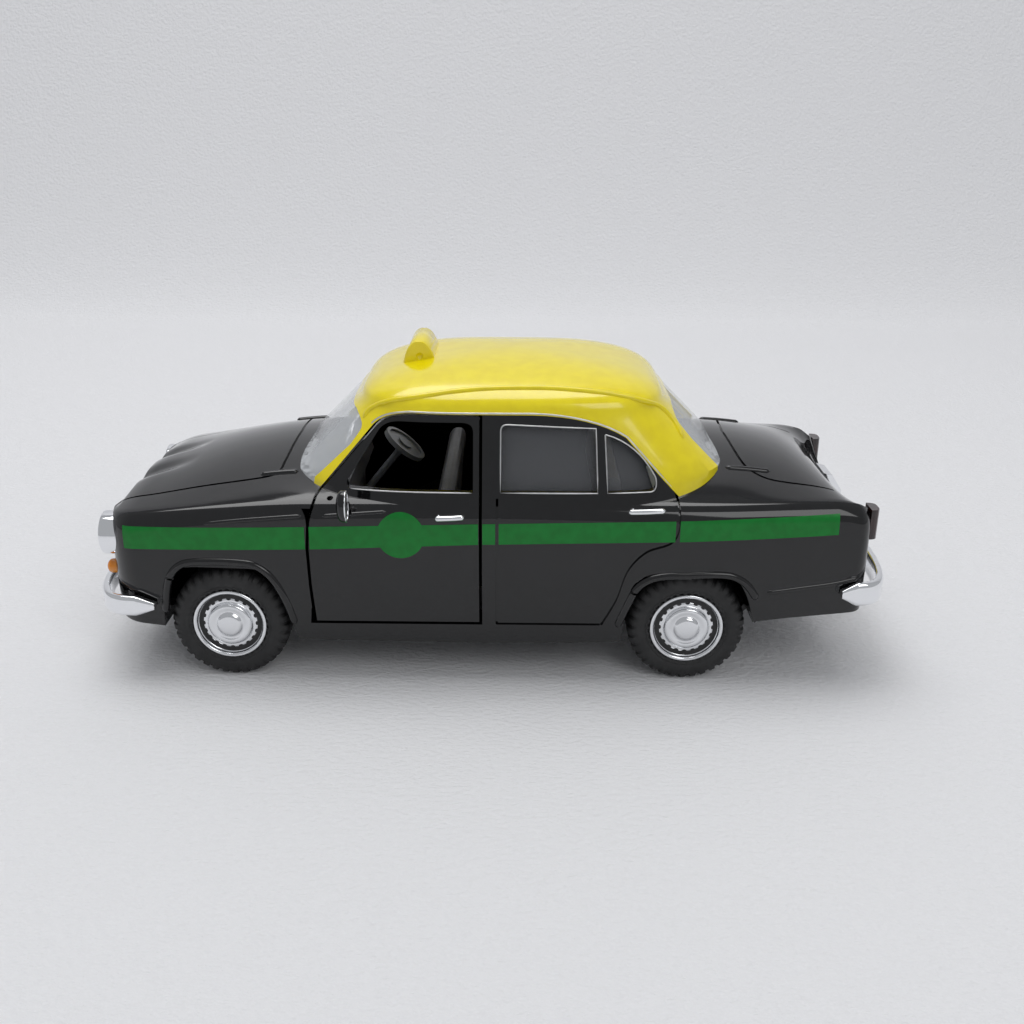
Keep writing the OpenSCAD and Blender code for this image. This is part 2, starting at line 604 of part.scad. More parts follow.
idler_lean = 80;
drum_lean = 80;
reach_1 = gear_m * (pinion_n + idler_n) / 2;
reach_2 = gear_m * (idler_n + drum_n) / 2;
idler_at = [rear_x + reach_1 * cos(idler_lean), axle_z + reach_1 * sin(idler_lean)];
drum_at = idler_at + reach_2 * [cos(drum_lean), sin(drum_lean)];
shaft_d = 1;
drum_r = gear_m * (drum_n / 2 - 1.25) - 0.3;
// Turn of the idler and of the drum at which their teeth mesh
idler_turn = idler_lean + 180 + 180 / idler_n;
idler_phase = ((drum_lean - idler_turn) * idler_n / 360) % 1;
drum_turn = drum_lean + 180 + (idler_phase - 0.5) * 360 / drum_n;

// Gear outline with n teeth, slim enough to run free
module gear_face(n) {
    tip = gear_m * (n / 2 + 0.85);
    root = gear_m * (n / 2 - 1.2);
    polygon([for (i = [0 : n - 1]) let (a = i * 360 / n, p = 360 / n) each [
        root * [cos(a - 0.26 * p), sin(a - 0.26 * p)], tip * [cos(a - 0.09 * p), sin(a - 0.09 * p)],
        tip * [cos(a + 0.09 * p), sin(a + 0.09 * p)], root * [cos(a + 0.26 * p), sin(a + 0.26 * p)]]]);
}
// Stands a flat outline upright at a point of the side view, w wide across the car
module upright(at, turn, w) translate([at[0], w / 2, at[1]]) rotate([90, 0, 0]) rotate([0, 0, turn])
    linear_extrude(w) children();

module axle_pinion() color([0.8, 0.7, 0.35]) difference() {
    upright([rear_x, axle_z], idler_lean, gear_w) gear_face(pinion_n);
    translate([rear_x, 10, axle_z]) rotate([90, 0, 0]) cylinder(h = 20, d = axle_d, $fn = 48);
}
module idler_gear() color([0.9, 0.9, 0.88]) difference() {
    upright(idler_at, idler_turn, gear_w) gear_face(idler_n);
    translate([idler_at[0], 10, idler_at[1]]) rotate([90, 0, 0])
        cylinder(h = 20, d = shaft_d + 2 * run_gap, $fn = 32);
}

spring_h = 2;
// Gear with a cup on its right-hand face that holds the spring
module spring_drum() color([0.85, 0.85, 0.82]) difference() {
    union() {
        upright(drum_at, drum_turn, gear_w) gear_face(drum_n);
        translate([drum_at[0], gear_w / 2 + spring_h + 0.4, drum_at[1]]) rotate([90, 0, 0])
            cylinder(h = spring_h + 0.5, r = drum_r, $fn = 64);
    }
    translate([drum_at[0], gear_w / 2 + spring_h + 1, drum_at[1]]) rotate([90, 0, 0])
        cylinder(h = spring_h + 1, r = drum_r - 0.4, $fn = 64);
    translate([drum_at[0], 10, drum_at[1]]) rotate([90, 0, 0])
        cylinder(h = 20, d = shaft_d + 2 * run_gap, $fn = 32);
}

// Flat coiled spring: a strip wound evenly from the shaft out to the cup
module mainspring() color([0.5, 0.52, 0.56]) {
    turns = 3.5;
    strip = 0.16;
    r0 = shaft_d / 2 + 0.3;
    r1 = drum_r - 0.4 - strip;
    n = 20 * turns;
    line = [for (i = [0 : n]) [r0 + (r1 - r0) * i / n, i * 360 * turns / n]];
    translate([0, spring_h / 2 + gear_w / 2 + 0.1, 0]) upright(drum_at, 0, spring_h) polygon(concat(
        [for (p = line) p[0] * [cos(p[1]), sin(p[1])]],
        [for (i = [n : -1 : 0]) (line[i][0] + strip) * [cos(line[i][1]), sin(line[i][1])]]));
}

// Box round the gears, open below, with the two fixed shafts
motor_x = [rear_x - 4, drum_at[0] + gear_m * (drum_n / 2 + 1) + 1.4];
motor_top = drum_at[1] + gear_m * (drum_n / 2 + 1) + 1.4;
// Stations of the two body screws: behind the nose, and between the motor and the tail
boss_x = [nose_x + 7.4, (motor_x[1] + tail_x) / 2 - 0.7];
module motor_housing() color([0.92, 0.92, 0.9]) difference() {
    union() {
        difference() {
            translate([motor_x[0], -motor_w / 2, tub_floor])
                cube([motor_x[1] - motor_x[0], motor_w, motor_top - tub_floor]);
            translate([motor_x[0] + 0.8, -motor_w / 2 + 0.8, tub_floor - 1])
                cube([motor_x[1] - motor_x[0] - 1.6, motor_w - 1.6, motor_top - tub_floor + 0.2]);
        }
        for (at = [idler_at, drum_at]) translate([at[0], motor_w / 2 - 0.4, at[1]]) rotate([90, 0, 0])
            cylinder(h = motor_w - 0.8, d = shaft_d, $fn = 32);
    }
    translate([rear_x, 10, axle_z]) rotate([90, 0, 0]) cylinder(h = 20, d = axle_d + 2 * run_gap, $fn = 48);
    translate([rear_x - axle_d / 2 - run_gap, -10, tub_floor - 1])
        cube([axle_d + 2 * run_gap, 20, axle_z - tub_floor + 1]);
}

// ---- lamps, bumpers and trim --------------------------------------------------------

// Rounded bar carried round the end of the car: reach is its depth, h its height. It stands
// on two irons that end on the face of the body, at the station face.
module bumper(tip, dir, reach, z, h, face) color([0.85, 0.86, 0.88]) {
    n = 28;
    t = bumper_t / 2;
    root = tip - dir * reach;
    beside = function (x) dir * (face - x) > 0 ? skin_y(x, z) + bumper_gap + t : 0;
    profile = [for (c = [[-1, -0.25], [-0.4, -0.5], [0.3, -0.5], [1, -0.22], [1, 0.22], [0.3, 0.5],
        [-0.4, 0.5], [-1, 0.25]]) [c[0] * t, c[1] * h]];
    path = [for (i = [0 : n]) let (a = -90 + 180 * i / n, out = (reach - t) * abs(cos(a))^0.42)
        [out, sign(sin(a)) * max(beside(root) * abs(sin(a))^0.62, beside(root + dir * out))]];
    rings = [for (i = [0 : n]) let (p = path[max(0, i - 1)], q = path[min(n, i + 1)],
        d = (q - p) / norm(q - p), at = path[i])
        [for (c = profile) [root + dir * (at[0] + c[0] * d[1]), at[1] - c[0] * d[0], z + c[1]]]];
    loft(dir > 0 ? rings : [for (i = [n : -1 : 0]) rings[i]]);
    for (side = [-1, 1]) translate([min(face, tip - dir * t), side * iron_y - 1, z - 0.8])
        cube([abs(tip - dir * t - face), 2, 1.6]);
}
bumper_gap = 0.15;
iron_y = 9;
module front_bumper() bumper(-length / 2, -1, 10.6, front_bumper_z, bumper_h, nose_x);
module rear_bumper() bumper(length / 2, 1, 8.4, rear_bumper_z, bumper_h + 0.5, tail_x);

// Lamp seen along the car: ring of outer diameter d, w deep, with an opening of diameter b
module ring(x, y, z, d, b, w) translate([x, y, z]) rotate([0, 90, 0]) difference() {
    cylinder(h = w, d = d, $fn = 64);
    translate([0, 0, -1]) cylinder(h = w + 2, d = b, $fn = 64);
}
lamp_face = nose_x - 1.2;
lamp_bore = lamp_d - 1.2;
// Bezel that runs back to the rounded corner of the wing
module headlamp_rim(side) color([0.85, 0.86, 0.88]) difference() {
    ring(lamp_face, side * lamp_spread / 2, lamp_z, lamp_d, lamp_bore, 4);
    body_form();
}
module headlamp_lens(side) color([0.9, 0.93, 0.95, 0.6])
    translate([lamp_face + 0.2, side * lamp_spread / 2, lamp_z]) rotate([0, 90, 0]) {
        cylinder(h = 1, d = lamp_bore, $fn = 64);
        translate([0, 0, 5.2]) intersection() {
            sphere(r = 6, $fn = 64);
            translate([0, 0, -6]) cylinder(h = 1, d = lamp_bore - 0.4, $fn = 64);
        }
    }
module headlamp_rim_left() headlamp_rim(-1);
module headlamp_rim_right() headlamp_rim(1);
module headlamp_lens_left() headlamp_lens(-1);
module headlamp_lens_right() headlamp_lens(1);

module sidelight(side) color([0.9, 0.55, 0.1]) difference() {
    translate([nose_x, side * (lamp_spread / 2 + 0.5), lamp_z - 5.3]) rotate([0, -90, 0])
        rotate_extrude($fn = 48) polygon([[0, -1], [1.1, -1], [1.1, 0.5], [0.8, 0.9], [0.4, 1.2], [0, 1.3]]);
    body_form();
}
module sidelight_left() sidelight(-1);
module sidelight_right() sidelight(1);

// Frame with level bars between the headlamps
grille_w = lamp_spread - lamp_d - 1.6;
grille_h = 6.4;
grille_z = 15;
module grille() color([0.85, 0.86, 0.88]) {
    difference() {
        translate([nose_x - 0.8, -grille_w / 2, grille_z]) cube([0.8, grille_w, grille_h]);
        translate([nose_x - 2, -grille_w / 2 + 0.7, grille_z + 0.7])
            cube([4, grille_w - 1.4, grille_h - 1.4]);
    }
    for (i = [1 : 4]) translate([nose_x - 0.7, -grille_w / 2 + 0.5, grille_z + i * grille_h / 5 - 0.2])
        cube([0.7, grille_w - 1, 0.4]);
}

// Block lamp flat on the corner of the tail
tail_lamp_w = 3.2;
module tail_lamp(side) color([0.09, 0.08, 0.08])
    translate([tail_x, side * (skin_y(tail_x, widest_z) - tail_lamp_w / 2), tail_crest_z - 5.8])
    linear_extrude(4.6) polygon(concat(bend([0, -tail_lamp_w / 2], [1.3, -tail_lamp_w / 2], [1.3, -0.6], 4),
        bend([1.3, 0.6], [1.3, tail_lamp_w / 2], [0, tail_lamp_w / 2], 4)));
module tail_lamp_left() tail_lamp(-1);
module tail_lamp_right() tail_lamp(1);

// Number plates: w wide, h high and number_t thick, flat on the nose and the tail
number_w = 9.4;
number_t = 0.6;
module front_plate() color([0.9, 0.9, 0.88])
    translate([nose_x - number_t, -number_w / 2, front_skirt_z + 0.7])
        cube([number_t, number_w, front_bumper_z - bumper_h / 2 - front_skirt_z - 0.1]);
module rear_plate() color([0.9, 0.8, 0.1])
    translate([tail_x, -number_w / 2, rear_bumper_z + 2.6]) cube([number_t, number_w, 2.6]);
// Handle and number plate lamp in one housing on the slope of the boot lid
module boot_handle() color([0.85, 0.86, 0.88]) difference() {
    across(-2.6, 2.6) polygon([for (c = [[-4, 0], [0.2, 0.6], [0.2, 2], [-1.4, 4.4], [-2.8, 4.8]])
        [tail_x + c[0], boot_z - 11 + c[1]]]);
    body_form();
}

// Bar handle whose two feet stand on the door skin
module handle(x, z, l, side) color([0.85, 0.86, 0.88]) on_side(side) difference() {
    translate([x, -skin_y(x, z), z]) {
        translate([-l / 2, -1, -0.4]) cube([l, 0.5, 0.8]);
        for (e = [-1, 1]) translate([e * (l / 2 - 0.5) - 0.4, -0.6, -0.3]) cube([0.8, 1.4, 0.6]);
    }
    body_form();
    cabin_form();
}
handle_z = waist_z - 2.4;
module door_handle_left() handle(post_x - 5.6, handle_z, 4.6, -1);
module door_handle_right() handle(post_x - 5.6, handle_z, 4.6, 1);
module rear_handle_left() handle(rear_x - 7, handle_z + 1, 5.4, -1);
module rear_handle_right() handle(rear_x - 7, handle_z + 1, 5.4, 1);

// Oval mirror head on a short stalk from the door skin
mirror_at = [door_x + 5.2, body_w / 2 + 1.9, waist_z - 0.1];
module mirror_piece(side) color([0.05, 0.05, 0.06]) on_side(side) difference() {
    translate([mirror_at[0], -mirror_at[1], mirror_at[2]]) {
        hull() for (e = [-0.7, 0.7]) translate([-0.5, 0, e]) rotate([0, 90, 0])
            cylinder(h = 1, d = 3.4, $fn = 32);
        translate([-0.4, 0, -1]) cube([0.8, mirror_at[1] - rail_w / 2, 0.8]);
    }
    body_form();
    cabin_form();
}
module mirror_left() mirror_piece(-1);
module mirror_right() mirror_piece(1);

// Three-sided sign with rounded edges and a dimple in each end
sign_x = front_x + sign_setback;
sign_foot = sign_top - sign_h;
module roof_sign() color([0.9, 0.8, 0.02]) difference() {
    translate([sign_x, 0, sign_foot]) across(-sign_w / 2, sign_w / 2) polygon(concat([[sign_l / 2, -2]],
        bend([sign_l / 2, 0.4], [sign_l * 0.3, sign_h], [0.1, sign_h], 5),
        bend([-0.5, sign_h], [-sign_l * 0.38, sign_h - 0.3], [-sign_l / 2, 0.4], 5), [[-sign_l / 2, -2]]));
    for (side = [-1, 1]) translate([sign_x, side * (sign_w / 2 + 0.3), sign_foot + sign_h * 0.4])
        sphere(r = 0.6, $fn = 32);
    cabin_form();
}

body_shell();
roof_shell();
base_plate();
interior_tub();
steering_wheel();
windscreen();
rear_window();
side_glass_left();
side_glass_right();
door_left();
door_right();
door_pin_left();
door_pin_right();
door_handle_left();
door_handle_right();
rear_handle_left();
rear_handle_right();
mirror_left();
mirror_right();
grille();
headlamp_rim_left();
headlamp_rim_right();
headlamp_lens_left();
headlamp_lens_right();
sidelight_left();
sidelight_right();
front_bumper();
rear_bumper();
tail_lamp_left();
tail_lamp_right();
front_plate();
rear_plate();
boot_handle();
roof_sign();
front_axle();
rear_axle();
rim_front_left();
rim_front_right();
rim_rear_left();
rim_rear_right();
tyre_front_left();
tyre_front_right();
tyre_rear_left();
tyre_rear_right();
motor_housing();
axle_pinion();
idler_gear();
spring_drum();
mainspring();
base_screws();
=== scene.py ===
# Die-cast saloon taxi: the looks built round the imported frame.
# Metres in the scene; the shapes below are worked out in millimetres and scaled by MM.
import math

import bpy
import numpy as np
from mathutils import Matrix, Vector


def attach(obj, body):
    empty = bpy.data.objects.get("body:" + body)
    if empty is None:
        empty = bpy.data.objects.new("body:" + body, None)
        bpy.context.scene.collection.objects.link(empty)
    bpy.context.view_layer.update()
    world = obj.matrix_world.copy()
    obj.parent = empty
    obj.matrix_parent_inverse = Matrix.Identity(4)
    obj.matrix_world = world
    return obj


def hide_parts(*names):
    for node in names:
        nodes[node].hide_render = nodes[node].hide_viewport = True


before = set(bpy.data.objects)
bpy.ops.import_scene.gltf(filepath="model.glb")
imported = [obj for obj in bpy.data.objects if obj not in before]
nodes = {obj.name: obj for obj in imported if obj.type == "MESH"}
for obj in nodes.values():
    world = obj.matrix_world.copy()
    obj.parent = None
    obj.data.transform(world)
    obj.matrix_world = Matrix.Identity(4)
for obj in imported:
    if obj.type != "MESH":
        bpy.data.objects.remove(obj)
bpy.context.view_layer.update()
MM = 0.001

# ---- camera, floor and studio light ---------------------------------------------------
# The car stands on pale woven cloth, seen from its left side and a little above. The cloth
# rises behind it into a plain pale backdrop, and two broad lamps light it from above.
camera = bpy.data.objects.new("camera", bpy.data.cameras.new("camera"))
bpy.context.scene.collection.objects.link(camera)
bpy.context.scene.camera = camera
camera.data.lens = 38.32
camera.data.sensor_width = 36.0
camera.location = (0.0041, -0.1667, 0.0843)
turn = (Matrix.Rotation(math.radians(0.32), 3, "Z") @ Matrix.Rotation(math.radians(68.64), 3, "X")
        @ Matrix.Rotation(math.radians(0.39), 3, "Z"))
camera.rotation_euler = turn.to_euler()
camera.data.clip_start = 0.01
bpy.context.scene.view_settings.view_transform = "Standard"


def link_mesh(name, verts, faces, smooth=True):
    """A mesh object whose vertices are given in millimetres."""
    mesh = bpy.data.meshes.new(name)
    mesh.from_pydata((np.asarray(verts, float) * MM).tolist(), [], faces)
    mesh.validate()
    mesh.polygons.foreach_set("use_smooth", np.full(len(mesh.polygons), smooth))
    obj = bpy.data.objects.new(name, mesh)
    bpy.context.scene.collection.objects.link(obj)
    return obj


def material(name, colour, rough, metal=0.0, **sockets):
    """A Principled material with plain numbers on its sockets, and its node tree."""
    mat = bpy.data.materials.new(name)
    mat.use_nodes = True
    shader = mat.node_tree.nodes["Principled BSDF"]
    shader.inputs["Base Color"].default_value = (*colour, 1)
    shader.inputs["Roughness"].default_value = rough
    shader.inputs["Metallic"].default_value = metal
    for key, value in sockets.items():
        shader.inputs[key.replace("_", " ")].default_value = value
    return mat


def grain(mat, scale, strength, distance, detail=3.0, stretch=(1, 1, 1)):
    """Fine relief on Object coordinates, from a noise texture through a Bump node."""
    tree = mat.node_tree
    place = tree.nodes.new("ShaderNodeTexCoord")
    mapping = tree.nodes.new("ShaderNodeMapping")
    mapping.inputs["Scale"].default_value = stretch
    noise = tree.nodes.new("ShaderNodeTexNoise")
    noise.inputs["Scale"].default_value = scale
    noise.inputs["Detail"].default_value = detail
    bump = tree.nodes.new("ShaderNodeBump")
    bump.inputs["Strength"].default_value = strength
    bump.inputs["Distance"].default_value = distance
    tree.links.new(place.outputs["Object"], mapping.inputs["Vector"])
    tree.links.new(mapping.outputs["Vector"], noise.inputs["Vector"])
    tree.links.new(noise.outputs["Fac"], bump.inputs["Height"])
    tree.links.new(bump.outputs["Normal"], tree.nodes["Principled BSDF"].inputs["Normal"])
    return noise


def mottle(mat, scale, colour_a, colour_b, socket="Base Color"):
    """Slow colour variation over a finish: a noise texture between two colours."""
    tree = mat.node_tree
    place = tree.nodes.new("ShaderNodeTexCoord")
    noise = tree.nodes.new("ShaderNodeTexNoise")
    noise.inputs["Scale"].default_value = scale
    ramp = tree.nodes.new("ShaderNodeValToRGB")
    ramp.color_ramp.elements[0].position = 0.35
    ramp.color_ramp.elements[1].position = 0.65
    ramp.color_ramp.elements[0].color = (*colour_a, 1)
    ramp.color_ramp.elements[1].color = (*colour_b, 1)
    tree.links.new(place.outputs["Object"], noise.inputs["Vector"])
    tree.links.new(noise.outputs["Fac"], ramp.inputs["Fac"])
    tree.links.new(ramp.outputs["Color"], tree.nodes["Principled BSDF"].inputs[socket])


cloth = material("cloth", (0.72, 0.72, 0.735), 0.95, Sheen_Weight=0.2)
grain(cloth, 900.0, 0.6, 0.0006, 4.0, (1.0, 1.6, 1.0))
u, v = np.meshgrid(np.linspace(-1, 1, 60), np.linspace(0, 1, 80))
sweep_y = np.where(v < 0.6, -500 + v / 0.6 * 740, 240 + 120 * np.sin((v - 0.6) / 0.4 * np.pi / 2))
sweep_z = np.where(v < 0.6, 0, 900 * (1 - np.cos((v - 0.6) / 0.4 * np.pi / 2)))
cells = (np.arange(79)[:, None] * 60 + np.arange(59)[None, :]).ravel()
floor = link_mesh("floor", np.stack([u * 900, sweep_y, sweep_z], -1).reshape(-1, 3),
                  np.stack([cells, cells + 1, cells + 61, cells + 60], -1).tolist())
floor.data.materials.append(cloth)

world = bpy.data.worlds.new("studio")
bpy.context.scene.world = world
world.use_nodes = True
world.node_tree.nodes["Background"].inputs["Color"].default_value = (0.9, 0.92, 0.95, 1)
world.node_tree.nodes["Background"].inputs["Strength"].default_value = 0.44
for name, place, aim, size, power in (
        ("lamp_top", (-0.10, 0.10, 0.75), (0, 0, 0), 0.55, 3.5),
        ("lamp_front", (0.35, -0.55, 0.55), (0, 0, 0.02), 0.4, 1.2)):
    lamp = bpy.data.objects.new(name, bpy.data.lights.new(name, "AREA"))
    lamp.data.size = size
    lamp.data.energy = power
    lamp.location = place
    lamp.rotation_euler = (Vector(aim) - Vector(place)).to_track_quat("-Z", "Y").to_euler()
    bpy.context.scene.collection.objects.link(lamp)

# ---- body casting ---------------------------------------------------------------------
# One zinc casting, sprayed gloss black: wings, bonnet, boot and the rear door frames. Its
# sides come from a few smooth lines along the car, and panel gaps are cut 0.35 mm deep.
NOSE, TAIL, FRONT, REAR, POST = -56.4, 55.6, -38.9, 29.5, 0.0
DOOR, SCREEN, BACK, ARCH_R, AXLE_Z = -25.5, -28.3, 34.0, 9.8, 8.8
WALL, GAP, SILL, RAIL, ROOF = 1.1, 0.45, 30.3, 41.5, 46.8
CREST = np.array([[NOSE, 25.4], [NOSE + 4, 26.3], [FRONT, 28], [DOOR, 29.1], [POST, 29.4],
                  [REAR, 29], [TAIL - 6, 29], [TAIL - 2, 28.4], [TAIL, 27.2]])
SPINE = np.array([[NOSE, 24.4], [NOSE + 1.4, 26.8], [NOSE + 7, 28.7], [FRONT, 31.4], [SCREEN, 32.8],
                  [BACK, 33.4], [44.6, 31.8], [TAIL - 5, 29], [TAIL - 1.6, 25], [TAIL, 22.4]])
SKIRT = np.array([[NOSE, 9.0], [FRONT - ARCH_R, 8.4], [FRONT + ARCH_R, 7], [REAR - ARCH_R, 7],
                  [REAR + ARCH_R + 1, 10.6], [TAIL, 11.8]])
CREST_R = 3.2


def flow(points, x):
    """Smooth cubic curve: its slope at a point is the slope between that point's neighbours."""
    x = np.asarray(x, float)
    n = len(points)
    lo, hi = np.maximum(np.arange(n) - 1, 0), np.minimum(np.arange(n) + 1, n - 1)
    slope = (points[hi, 1] - points[lo, 1]) / (points[hi, 0] - points[lo, 0])
    i = np.clip(np.searchsorted(points[:, 0], x, "right") - 1, 0, n - 2)
    h = points[i + 1, 0] - points[i, 0]
    t = (x - points[i, 0]) / h
    return (points[i, 1] * (2 * t**3 - 3 * t**2 + 1) + slope[i] * h * (t**3 - 2 * t**2 + t)
            + points[i + 1, 1] * (3 * t**2 - 2 * t**3) + slope[i + 1] * h * (t**3 - t**2))


def draw_in(r, depth):
    """How far a round end of radius r has drawn in at a depth from its tip."""
    d = np.clip(depth, 0, r)
    return r - np.sqrt(np.maximum(0, r * r - (r - d) ** 2))


def body_y(x, k=0.0):
    """Half width of the lower body: widest amidships, drawn in to both ends, k inside the skin."""
    return (22.6 - k - 2 * np.maximum(0, (-21.9 - x) / 34.5) ** 2
            - 1.8 * np.maximum(0, (x - 25.5) / 30.1) ** 2
            - draw_in(4.6, x - NOSE - k) - draw_in(2, TAIL - k - x))


def skin_y(x, z):
    """Half width at a height: a slight bulge about z 19, then round the wing's crest."""
    turn_z = flow(CREST, x) - CREST_R
    up = np.clip(z - turn_z, 0, CREST_R)
    return (body_y(x) - 0.6 * ((np.minimum(z, turn_z) - 19) / 10) ** 2 - CREST_R
            + np.sqrt(np.maximum(0, CREST_R**2 - up**2)))


def top_z(x, y):
    """Height of the bonnet or boot: a crown across the car that meets the wing's crest."""
    crest, top = flow(CREST, x), flow(SPINE, x)
    y1 = body_y(x) - 0.6 * ((crest - CREST_R - 19) / 10) ** 2 - CREST_R
    yt, zt = y1 + CREST_R * math.cos(math.radians(68)), crest - CREST_R + CREST_R * math.sin(math.radians(68))
    return top - (top - zt) * np.minimum(1, np.abs(y) / yt) ** 2


def loft(name, rings):
    """Closed solid through an array of rings, ordered along the solid, with flat ends."""
    m, n = rings.shape[:2]
    i, j = np.meshgrid(np.arange(m - 1), np.arange(n), indexing="ij")
    a, b = i * n + j, i * n + (j + 1) % n
    quads = np.stack([a, b, b + n, a + n], -1).reshape(-1, 4).tolist()
    ends = [list(range(n))[::-1], [(m - 1) * n + q for q in range(n)]]
    return link_mesh(name, rings.reshape(-1, 3), quads + ends)


def body_form(k=0.0, foot=True, flute=True):
    """The lower body as a solid, k inside the skin: 200 stations of side, crest and crown."""
    s = 0.5 * (1 - np.cos(np.pi * np.linspace(0, 1, 200)))
    x = (NOSE + k + s * (TAIL - NOSE - 2 * k))[:, None]
    w, crest, top = body_y(x, k), flow(CREST, x) - k, flow(SPINE, x) - k
    base = flow(SKIRT, x) if foot else np.zeros_like(x)
    r = CREST_R - k / 2
    z = base + np.linspace(0, 1, 14)[None, :-1] * (crest - r - base)
    side_y = w - 0.6 * ((z - 19) / 10) ** 2
    y1 = w - 0.6 * ((crest - r - 19) / 10) ** 2 - r
    a = np.radians(np.linspace(0, 68, 13))[None]
    arc_y, arc_z = y1 + r * np.cos(a), crest - r + r * np.sin(a)
    t = np.linspace(1, 0, 22)[None, 1:]
    crown_y, crown_z = arc_y[:, -1:] * t, top - (top - arc_z[:, -1:]) * t**2
    if flute:
        # Two shallow flutes beside a ridge at the nose of the bonnet, gone by the wing
        fade = np.clip((-46 - x) / 7, 0, 1) * np.clip((x - NOSE) / 1.5, 0, 1)
        crown_z = crown_z - 0.7 * fade * np.exp(-((crown_y - 4.6) / 1.7) ** 2)
    half_y = np.concatenate([side_y, arc_y, crown_y], 1)
    half_z = np.concatenate([z, arc_z, crown_z], 1)
    ring_y = np.concatenate([-half_y, half_y[:, -2::-1]], 1)
    ring_z = np.concatenate([half_z, half_z[:, -2::-1]], 1)
    return loft("body", np.stack([np.broadcast_to(x, ring_y.shape), ring_y, ring_z], -1))


def cabin_half(z):
    """Half width of the cabin below the cant rail: it leans in above the sill."""
    low_y = float(skin_y(POST, 26.0)) - 0.1
    return np.where(z > SILL, 21.3 - 2.9 * (z - SILL) / (RAIL - SILL),
                    21.3 + (low_y - 21.3) * (SILL - z) / (SILL - 26.0))


def cabin_ends(z, k=0.0):
    """Stations of the cabin's front and back: both screens lean one for one."""
    return (SCREEN + np.maximum(z, 31) - 32.8 + 1.4 * k, BACK - np.maximum(z, 32) + 33.4 - 1.4 * k)


def cabin_form(k=0.0, foot=26.0):
    """The cabin as a solid: squared-oval rings up to the rail, then a crowned roof."""
    level = np.array([foot, 28, SILL, 31, 32, 34, 36, 38, 40, RAIL])
    rise = np.radians([7, 14, 21, 28, 35, 42, 49, 56, 63, 70, 77, 83, 88])
    z = np.concatenate([level, RAIL + (ROOF - k - RAIL) * np.sin(rise)])
    share = np.concatenate([np.ones(len(level)), np.cos(rise)])[:, None]
    base = np.minimum(z, RAIL)
    f, b = cabin_ends(base, k)
    a = np.linspace(0, 2 * np.pi, 177)[None, :-1]
    round_off = lambda c: np.sign(c) * np.abs(c) ** (2 / 3.8)
    x = ((f + b) / 2)[:, None] + share * ((b - f) / 2)[:, None] * round_off(np.cos(a))
    y = -share * (cabin_half(base) - k)[:, None] * round_off(np.sin(a))
    rings = np.stack([x, y, np.broadcast_to(z[:, None], x.shape)], -1)
    return loft("cabin", rings[::-1])


def cabin_skin(x, z):
    """Half width of the cabin's outside at a station and a height."""
    base = np.minimum(z, RAIL)
    f, b = cabin_ends(base)
    share = np.sqrt(np.maximum(1e-6, 1 - (np.maximum(0, z - RAIL) / (ROOF - RAIL)) ** 2))
    along = np.abs((x - (f + b) / 2) / (share * (b - f) / 2))
    return share * cabin_half(base) * np.maximum(0, 1 - along**3.8) ** (1 / 3.8)


def prism(outline, y0=-40, y1=40, axis="y"):
    """An outline pushed across the car (x, z) or upwards (x, y) or along it (y, z)."""
    p = np.asarray(outline, float)
    p = p if np.sum(p[:, 0] * np.roll(p[:, 1], -1) - p[:, 1] * np.roll(p[:, 0], -1)) > 0 else p[::-1]
    lay = {"y": lambda q, h: np.stack([q[:, 0], -h, q[:, 1]], -1),
           "z": lambda q, h: np.stack([q[:, 0], q[:, 1], h], -1),
           "x": lambda q, h: np.stack([h, q[:, 0], q[:, 1]], -1)}[axis]
    ends = (-y1, -y0) if axis == "y" else (y0, y1)
    return loft("prism", np.stack([lay(p, np.full(len(p), float(h))) for h in ends]))


def combine(a, b, how="DIFFERENCE"):
    """Cuts, joins or meets two solids, leaving the result in the first."""
    step = a.modifiers.new("step", "BOOLEAN")
    step.operation, step.object, step.solver = how, b, "MANIFOLD"
    made = bpy.data.meshes.new_from_object(a.evaluated_get(bpy.context.evaluated_depsgraph_get()))
    a.modifiers.clear()
    a.data = made
    bpy.data.objects.remove(b)
    return a


def bend(p, c, q, n=8):
    """Points of the rounded corner from p to q, pulled towards c."""
    t = np.linspace(0, 1, n + 1)[:, None]
    return (1 - t) ** 2 * np.array(p) + 2 * t * (1 - t) * np.array(c) + t**2 * np.array(q)


def smooth_path(points, n=80):
    """Smooth curve through points, by arc length: a cubic in each of its coordinates."""
    p = np.asarray(points, float)
    s = np.concatenate([[0], np.cumsum(np.linalg.norm(np.diff(p, axis=0), axis=1))])
    t = np.linspace(0, s[-1], n)
    return np.stack([flow(np.stack([s, p[:, c]], -1), t) for c in range(p.shape[1])], -1)


def strip(path, width):
    """Outline of a narrow strip along a flat path."""
    d = np.gradient(path, axis=0)
    d /= np.linalg.norm(d, axis=1, keepdims=True)
    side = np.stack([-d[:, 1], d[:, 0]], -1) * width / 2
    return np.concatenate([path + side, (path - side)[::-1]])


def groove(body, path, width, depth, axis, y0, y1):
    """Cuts a panel gap of even depth: the strip, less the form that far inside the skin."""
    cutter = combine(prism(strip(path, width), y0, y1, axis), body_form(depth, flute=False))
    return combine(body, cutter)


def finish_solid(obj, name, mat, body, slot, *replaced, angle=32):
    """Names a finished solid, smooths it by angle and hands it to the frame."""
    obj.name = obj.data.name = name
    obj.data.materials.clear()
    obj.data.materials.append(mat)
    obj.data.polygons.foreach_set("use_smooth", np.ones(len(obj.data.polygons), bool))
    obj.data.set_sharp_from_angle(angle=math.radians(angle))
    obj.data.update()
    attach(obj, body)
    if replaced:
        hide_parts(*replaced)
    return obj


